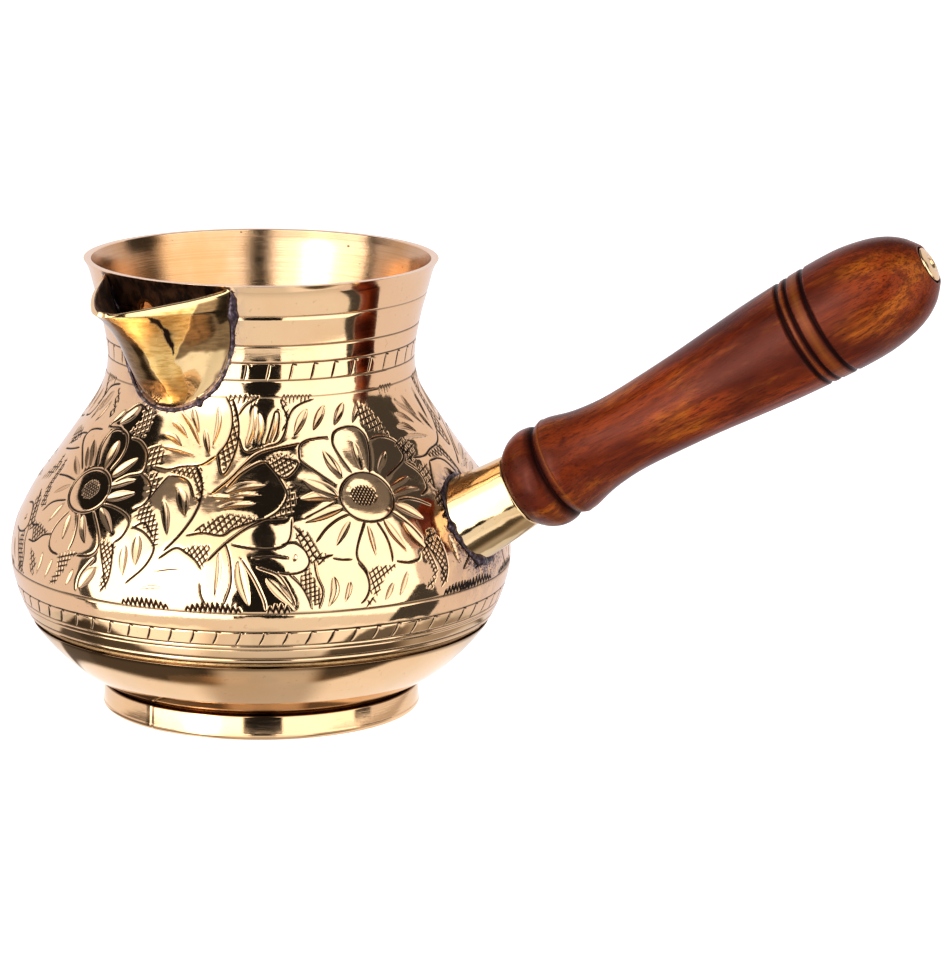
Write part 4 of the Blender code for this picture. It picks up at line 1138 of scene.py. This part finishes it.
def make_solder_strand():
    """The strand that ran down inside the spout's far corner."""
    top, bottom = 98.6, 87.0
    height = np.linspace(top, bottom, 120)
    radial, vertical = body_normal(height)
    angle = math.radians(SPOUT_ANGLE + 3.4) - seam_half_angle(height) + 0.012 * np.sin(height * 0.9)
    path = round_z(body_radius(height) + 0.2, angle, height)
    from_end = np.minimum(top - height, height - bottom)
    sizes = (0.55 + 0.2 * np.sin(height * 1.7)) * np.clip(from_end / 0.8, 0.05, 1) ** 0.5
    return bead("spout_solder_strand", path, sizes, round_z(radial, angle, vertical), 0.6, 9.0, 0.5)


# Handle

def handle_place(along, across, up):
    """Row-frame point from the handle's own directions: up is square to its axis, in the XZ plane."""
    cosine, sine = math.cos(HANDLE_RISE), math.sin(HANDLE_RISE)
    along, across, up = np.broadcast_arrays(along, across, up)
    height = HANDLE_ROOT + along * sine + up * cosine
    return np.stack([along * cosine - up * sine, HANDLE_OFFSET + across, height], -1)


def socket_radius(distance):
    return SOCKET_RADIUS + SOCKET_TAPER * (GRIP_START - GAP - distance)


def socket_meet(turns, extra=0.0):
    """Distances along the handle's axis at which the socket's outer wall, grown by extra, meets the pot."""
    low, high = np.full(len(turns), 40.0), np.full(len(turns), 72.0)
    for _ in range(30):
        middle = (low + high) / 2
        radius = socket_radius(middle) + extra
        spot = handle_place(middle, radius * np.sin(turns), radius * np.cos(turns))
        within = np.hypot(spot[:, 0], spot[:, 1]) < body_radius(spot[:, 2]) + 0.1
        low, high = np.where(within, middle, low), np.where(within, high, middle)
    return high


def make_handle_socket():
    turns = np.arange(260) * math.tau / 260
    meet = socket_meet(turns)
    end = GRIP_START - GAP
    bevel = 0.25
    rows = [(along, socket_radius(along)) for along in np.linspace(meet, end - bevel, 60)]
    for turn_in in np.linspace(0.2, math.pi / 2, 5):
        drawn_in = bevel * (1 - math.cos(turn_in))
        rows.append((end - bevel + bevel * math.sin(turn_in), SOCKET_RADIUS - drawn_in))
    rows.append((end, SOCKET_RADIUS - SOCKET_WALL + 0.1))
    inner = [end - 0.1 + (meet + 0.4 - end) * level for level in np.linspace(0, 1, 14)]
    rows += [(along, socket_radius(along) - SOCKET_WALL) for along in inner]
    around = np.sin(turns), np.cos(turns)
    grid = np.array([handle_place(along, radius * around[0], radius * around[1]) for along, radius in rows])
    centre = np.array([handle_place(along, 0 * turns, 0 * turns) for along, _ in rows])
    # The end and the inside follow the dents of the outside's last row
    wave = rough_field(grid, 9.0, 5.0) * 0.16 + rough_field(grid, 3.0, 6.0) * 0.03
    wave[60:] = wave[59]
    outward = grid - centre
    grid += outward / np.linalg.norm(outward, axis=-1, keepdims=True) * wave[..., None]
    faces = quads(*grid.shape[:2], along=True)
    return mesh_object("handle_socket_tube", grid.reshape(-1, 3), faces[:, ::-1], [FITTING_BRASS])


def make_socket_solder():
    turns = np.arange(420) * math.tau / 420
    meet = socket_meet(turns, 0.25)
    radius = socket_radius(meet) + 0.25
    path = handle_place(meet, radius * np.sin(turns), radius * np.cos(turns))
    flat = np.hypot(path[:, 0], path[:, 1])
    radial, vertical = body_normal(path[:, 2])
    normals = np.stack([radial * path[:, 0] / flat, radial * path[:, 1] / flat, vertical], 1)
    sizes = 0.46 + 0.10 * np.sin(3 * turns + 1) + 0.10 * np.sin(7 * turns)
    for size, at, width in ((0.9, 3.55, 0.30), (0.8, 4.75, 0.10), (0.4, 4.45, 0.08), (0.2, 5.5, 0.3)):
        sizes += size * np.exp(-(((turns - at + math.pi) % math.tau - math.pi) / width) ** 2)
    return bead("socket_solder_bead", path, sizes, normals, 0.6, 8.0, 0.5, closed=True)


def make_grip():
    line = smooth_line(GRIP_LINE, 24)
    even = np.arange(0.0, GRIP_LENGTH, 0.16)
    radius = np.interp(even, line[:, 0], line[:, 1])
    # Only the part beyond the bead is smoothed, so that the bead's groove stays sharp
    beyond = even > 11.5
    radius[beyond] = settled(radius, 0.16, 1.2)[beyond]
    burn_and_painted_shade, worn = np.zeros((2, len(even)))
    for at, half in BURNT_RINGS:
        away = np.abs(even - at) / half
        radius -= 0.42 * np.clip(1 - away ** 2, 0, None)
        burn_and_painted_shade = np.maximum(burn_and_painted_shade, np.clip(1.5 - 1.3 * away, 0, 1))
    groove = np.abs(even - BEAD_GROOVE)
    radius -= 0.35 * np.clip(1 - (groove / 0.6) ** 2, 0, None)
    burn_and_painted_shade = np.maximum(burn_and_painted_shade, 0.95 * np.clip(1.6 - groove / 0.55, 0, 1))
    # A wider dark band round the bead's groove is painted shade in its recess
    burn_and_painted_shade = np.maximum(burn_and_painted_shade, 0.85 * np.clip(1.15 - groove / 1.8, 0, 1))
    for at, half, most in WORN_RINGS:
        worn = np.maximum(worn, most * np.clip(1 - np.abs(even - at) / half, 0, 1))
    outer = np.stack([radius, even], 1)
    floor = GRIP_LENGTH - POCKET_DEPTH
    tip = rounded([(*outer[-1], 0), (POCKET_RADIUS + 0.35, GRIP_LENGTH, 0.3),
                   (POCKET_RADIUS, GRIP_LENGTH - 0.3, 0.2), (POCKET_RADIUS, floor, 0.1),
                   (GRIP_BORE, floor, 0.1), (GRIP_BORE, 0.0, 0.3), (outer[0, 0], 0.0, 0.6)], 6)
    tip = filled_in(tip, 1.5)[1:-1]
    outline = np.concatenate([outer, tip])
    outline[:, 1] += GRIP_START
    # The pocket and the bore are darkened, and the rest of the end slightly
    burn_and_painted_shade = np.concatenate([burn_and_painted_shade, np.where(tip[:, 0] < POCKET_RADIUS + 0.15, 0.9, 0.1)])
    worn = np.concatenate([worn, np.zeros(len(tip))])

    def hand_turned(grid, angles):
        wave = 0.05 * np.sin(2 * angles + grid[:, :1, 2] * 0.05)
        radius = np.hypot(grid[..., 0], grid[..., 1])
        grid[..., :2] *= (1 + np.where(radius > 7.0, wave / radius, 0.0))[..., None]
        return grid

    # Unlike the others, this outline runs up outside and down inside, so its faces are turned over
    obj = lathe("wooden_grip_turned", outline, 220, [WOOD], matrix=handle_matrix(), shape=hand_turned,
                values={"burn_and_painted_shade": burn_and_painted_shade, "worn": worn})
    obj.data.flip_normals()
    return obj


def make_end_nut():
    rim = GRIP_START + GRIP_LENGTH + NUT_PROUD
    start = rim - NUT_LENGTH
    dimple = rim + NUT_DOME - NUT_DIMPLE
    line = rounded([
        (POLE, dimple, 0), (0.9, dimple + 0.2, 0.5), (1.5, rim + NUT_DOME, 0.45),
        (2.6, rim + NUT_DOME * 0.75, 0.8), (NUT_RADIUS, rim + 0.05, 0.35), (NUT_RADIUS, start, 0.3),
        (POLE, start, 0),
    ], 8)
    return lathe("end_nut_domed", filled_in(line, 0.6), 120, [FITTING_BRASS], matrix=handle_matrix())


# Build

# Each piece with the CAD node that it replaces and its material slot
made = [
    (make_upper_body(), "upper_body", "engraved_brass"),
    (make_lower_bowl(), "lower_bowl", "bowl_brass"),
    (make_body_braze(), "body_braze", "brazing_metal"),
    (make_foot_ring(), "foot_ring", "bowl_brass"),
    (make_spout(), "spout", "fitting_brass"),
    (make_spout_solder(), "spout_solder", "dark_solder"),
    (make_solder_strand(), "spout_solder", "dark_solder"),
    (make_handle_socket(), "handle_socket", "fitting_brass"),
    (make_socket_solder(), "socket_solder", "dark_solder"),
    (make_grip(), "wooden_grip", "varnished_wood"),
    (make_end_nut(), "end_nut", "fitting_brass"),
]
for piece, node, slot in made:
    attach(piece, "root")
    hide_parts(node)
for node, mat in (("anchor_plug", FITTING_BRASS), ("tie_rod", STEEL)):
    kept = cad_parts[node].data.materials
    kept.clear()
    kept.append(mat)


# Camera, floor and light

VIEW_TURN = math.radians(16.35)
VIEW_PITCH = math.radians(12.21)
VIEW_ROLL = math.radians(0.526)
VIEW_DISTANCE = 1.074
TARGET_RIGHT, TARGET_UP = 48.15 * MM, 50.2 * MM

right = Vector((math.cos(VIEW_TURN), math.sin(VIEW_TURN), 0.0))
level_ahead = Vector((-math.sin(VIEW_TURN), math.cos(VIEW_TURN), 0.0))
forward = level_ahead * math.cos(VIEW_PITCH) - Vector((0.0, 0.0, math.sin(VIEW_PITCH)))
up = right.cross(forward)
camera = bpy.data.objects.new("camera", bpy.data.cameras.new("camera"))
bpy.context.scene.collection.objects.link(camera)
camera.data.sensor_width = 36.0
camera.data.lens = 177.2
camera.data.clip_start, camera.data.clip_end = 0.05, 30.0
eye = right * TARGET_RIGHT + Vector((0, 0, TARGET_UP)) - forward * VIEW_DISTANCE
across = right * math.cos(VIEW_ROLL) + up * math.sin(VIEW_ROLL)
above = up * math.cos(VIEW_ROLL) - right * math.sin(VIEW_ROLL)
camera.matrix_world = Matrix.Translation(eye) @ Matrix((across, above, -forward)).transposed().to_4x4()
bpy.context.scene.camera = camera

FRONT = -71.1    # the pot's angle that faces the camera


def direction(turn, rise):
    """Unit vector at this angle right of the camera's side and this height, in degrees."""
    turn, rise = math.radians(FRONT + turn), math.radians(rise)
    return Vector((math.cos(turn) * math.cos(rise), math.sin(turn) * math.cos(rise), math.sin(rise)))


def glowing(name, color, gloss=0.0):
    """A material lit by each point's "glow" value; gloss adds a mirror-like surface."""
    mat = bpy.data.materials.new(name)
    mat.use_nodes = True
    tree = mat.node_tree
    shader = tree.nodes["Principled BSDF"]
    shader.inputs["Base Color"].default_value = (*color, 1.0)
    shader.inputs["Roughness"].default_value = 0.07 if gloss else 0.9
    shader.inputs["Specular IOR Level"].default_value = gloss
    shader.inputs["Emission Strength"].default_value = 1.0
    source = tree.nodes.new("ShaderNodeAttribute")
    source.attribute_name = "glow"
    tree.links.new(source.outputs["Color"], shader.inputs["Emission Color"])
    return mat


SCREEN = glowing("screen", (0.01, 0.01, 0.01))
TABLE = glowing("table", (0.0, 0.0, 0.0), 0.5)
PALE = glowing("pale_floor", (0.5, 0.5, 0.5))
UNSEEN = ("glossy", "diffuse", "shadow", "transmission")


def stage_grid(name, points, glows, mat, seen=UNSEEN, closed=False):
    """A sheet of the studio from a grid of points and their glows; seen lists the rays that meet it."""
    mesh = bpy.data.meshes.new(name)
    faces = quads(len(points), len(points[0]), across=closed).tolist()
    mesh.from_pydata([tuple(point) for row in points for point in row], [], faces)
    colors = np.array([(*glow, 1.0) for row in glows for glow in row], np.float32)
    mesh.attributes.new("glow", "FLOAT_COLOR", "POINT").data.foreach_set("color", colors.ravel())
    mesh.materials.append(mat)
    obj = bpy.data.objects.new(name, mesh)
    bpy.context.scene.collection.objects.link(obj)
    for ray in ("camera", "glossy", "diffuse", "shadow", "transmission", "volume_scatter"):
        setattr(obj, "visible_" + ray, ray in seen)


def screen(name, edges, glow, distance=1.5, tint=(1.0, 1.0, 1.0)):
    """A curved screen round the pot. edges lists (rise, from turn, to turn), from its foot up."""
    rises, starts, ends = np.array(edges, float).T
    points, glows = [], []
    for rise in np.linspace(rises[0], rises[-1], 25):
        turns = np.linspace(np.interp(rise, rises, starts), np.interp(rise, rises, ends), 25)
        points.append([direction(turn, rise) * distance + Vector((0, 0, 0.05)) for turn in turns])
        bright = [glow(rise, turn) if callable(glow) else glow for turn in turns]
        glows.append([tuple(value * c for c in tint) for value in bright])
    stage_grid(name, points, glows, SCREEN)


def left_glow(rise, turn):
    """The left softbox has a hot middle, and fades towards its top."""
    hot = 5.5 * math.exp(-((turn + 43) / 9) ** 2) * math.exp(-(max(abs(rise - 2) - 18, 0) / 10) ** 2)
    return 2.6 - 0.9 * smooth_step(rise, 26, 40) + hot


BLACK, DARK, WALL_GREY, WALL_TINT = 0.012, 0.08, 0.92, (1.0, 0.95, 1.0)
screen("left_softbox", [(-30, -84, -13), (-1, -84, -13), (8, -84, -8.5), (30, -84, -7.5), (42, -80, -7),
                        (55, -50, -5)], left_glow)
screen("right_softbox", [(-30, 15, 70), (0, 14.5, 74), (8, 10.5, 76), (30, 10, 78), (42, 8, 80),
                         (54, 6.5, 52)], 1.9)
screen("lower_front", [(-66, -88, 69), (-29, -88, 69)],
       lambda rise, turn: 0.98 - 0.22 * smooth_step(-rise, 38, 60), 1.55)
screen("front_gap", [(-30, -18, 20), (60, -14, 14)], BLACK, 1.7)
screen("front_ceiling", [(55, -24, 68), (86, -24, 68)], BLACK, 1.6)
screen("left_gap", [(-26, -90.5, -83), (29, -90.5, -83)], DARK, 1.45)
screen("right_gap", [(-46, 66, 93), (-24, 68, 92), (-3, 72, 79)], DARK, 1.45)
screen("left_flag", [(24, -126, -87), (46, -110, -78)], BLACK, 1.6)
screen("right_flag", [(12, 82, 108), (28, 82, 118), (42, 80, 104)], DARK, 1.6)
screen("left_wall", [(-64, -182, -88), (40, -182, -88)], WALL_GREY, 2.0, WALL_TINT)
screen("right_wall", [(-64, 69, 178), (40, 76, 178)], WALL_GREY, 2.0, WALL_TINT)

TABLE_DROP = 12.0    # how far under the foot the table that the brass reflects lies, in mm


def table_glow(turn, radius):
    """How bright the table looks at this angle from the camera's side and this distance in mm."""
    # The pot's own shadow has a lobe on either side, and the right one swings out under the handle
    if turn < 0:
        start = 42 + 18 * smooth_step(-turn, 30, 135)
        end = 60 + 40 * math.exp(-((turn + 75) / 30) ** 2)
    else:
        start = 44 + 48 * smooth_step(turn, 20, 120)
        end = 60 + 38 * smooth_step(turn, 8, 46)
    away = abs(turn)
    near = 1.04 - 0.42 * (1 - smooth_step(away, 18, 34))
    far = 1.32 if turn < 0 else 1.10
    far -= (far - 0.88) * (1 - smooth_step(away, 16, 26)) + (far - 0.75) * smooth_step(away, 58, 76)
    far += 0.33 * smooth_step(away, 132, 150)
    glow = near + (far - near) * smooth_step(radius, 56, 84)
    shade = smooth_step(radius, start - 1.5, start + 2.5) * (1 - smooth_step(radius, end - 3.5, end + 2.5))
    shade *= smooth_step(abs(turn - 2), 15, 25) * (1 - smooth_step(away, 124, 134))
    under_handle = smooth_step(turn, 50, 66) * (1 - smooth_step(turn, 104, 118))
    glow *= 1 - (0.90 - 0.42 * under_handle) * shade
    warmth = 1 - smooth_step(glow, 0.1, 0.8)
    return glow, glow * (1 - 0.16 * warmth), glow * (1 - 0.34 * warmth)


def make_table():
    turns = np.linspace(-180, 180, 181)[:-1]
    points, glows = [], []
    drop = Vector((0, 0, TABLE_DROP * MM))
    for radius in np.linspace(20, 104, 71):
        points.append([direction(turn, 0) * (radius * MM) - drop for turn in turns])
        glows.append([table_glow(turn, radius) for turn in turns])
    stage_grid("table", points, glows, TABLE, closed=True)


make_table()
round_turns = np.linspace(0, 360, 73)[:-1]
white = [[(0.93, 0.93, 0.93)] * 72] * 2
rings = [[direction(turn, 0) * reach + Vector((0, 0, height)) for turn in round_turns]
         for reach, height in ((0.001, -0.0008), (6.0, -0.0008), (6.0, 7.0))]
stage_grid("floor", rings[:2], white, PALE, ("camera",), closed=True)
stage_grid("backdrop", rings[1:], white, PALE, ("camera",), closed=True)

world = bpy.data.worlds.new("studio")
world.use_nodes = True
background = world.node_tree.nodes["Background"]
background.inputs["Color"].default_value = (1.0, 0.97, 0.98, 1.0)
background.inputs["Strength"].default_value = 0.26
bpy.context.scene.world = world
bpy.context.scene.view_settings.view_transform = "Standard"
bpy.context.scene.view_settings.gamma = 0.88
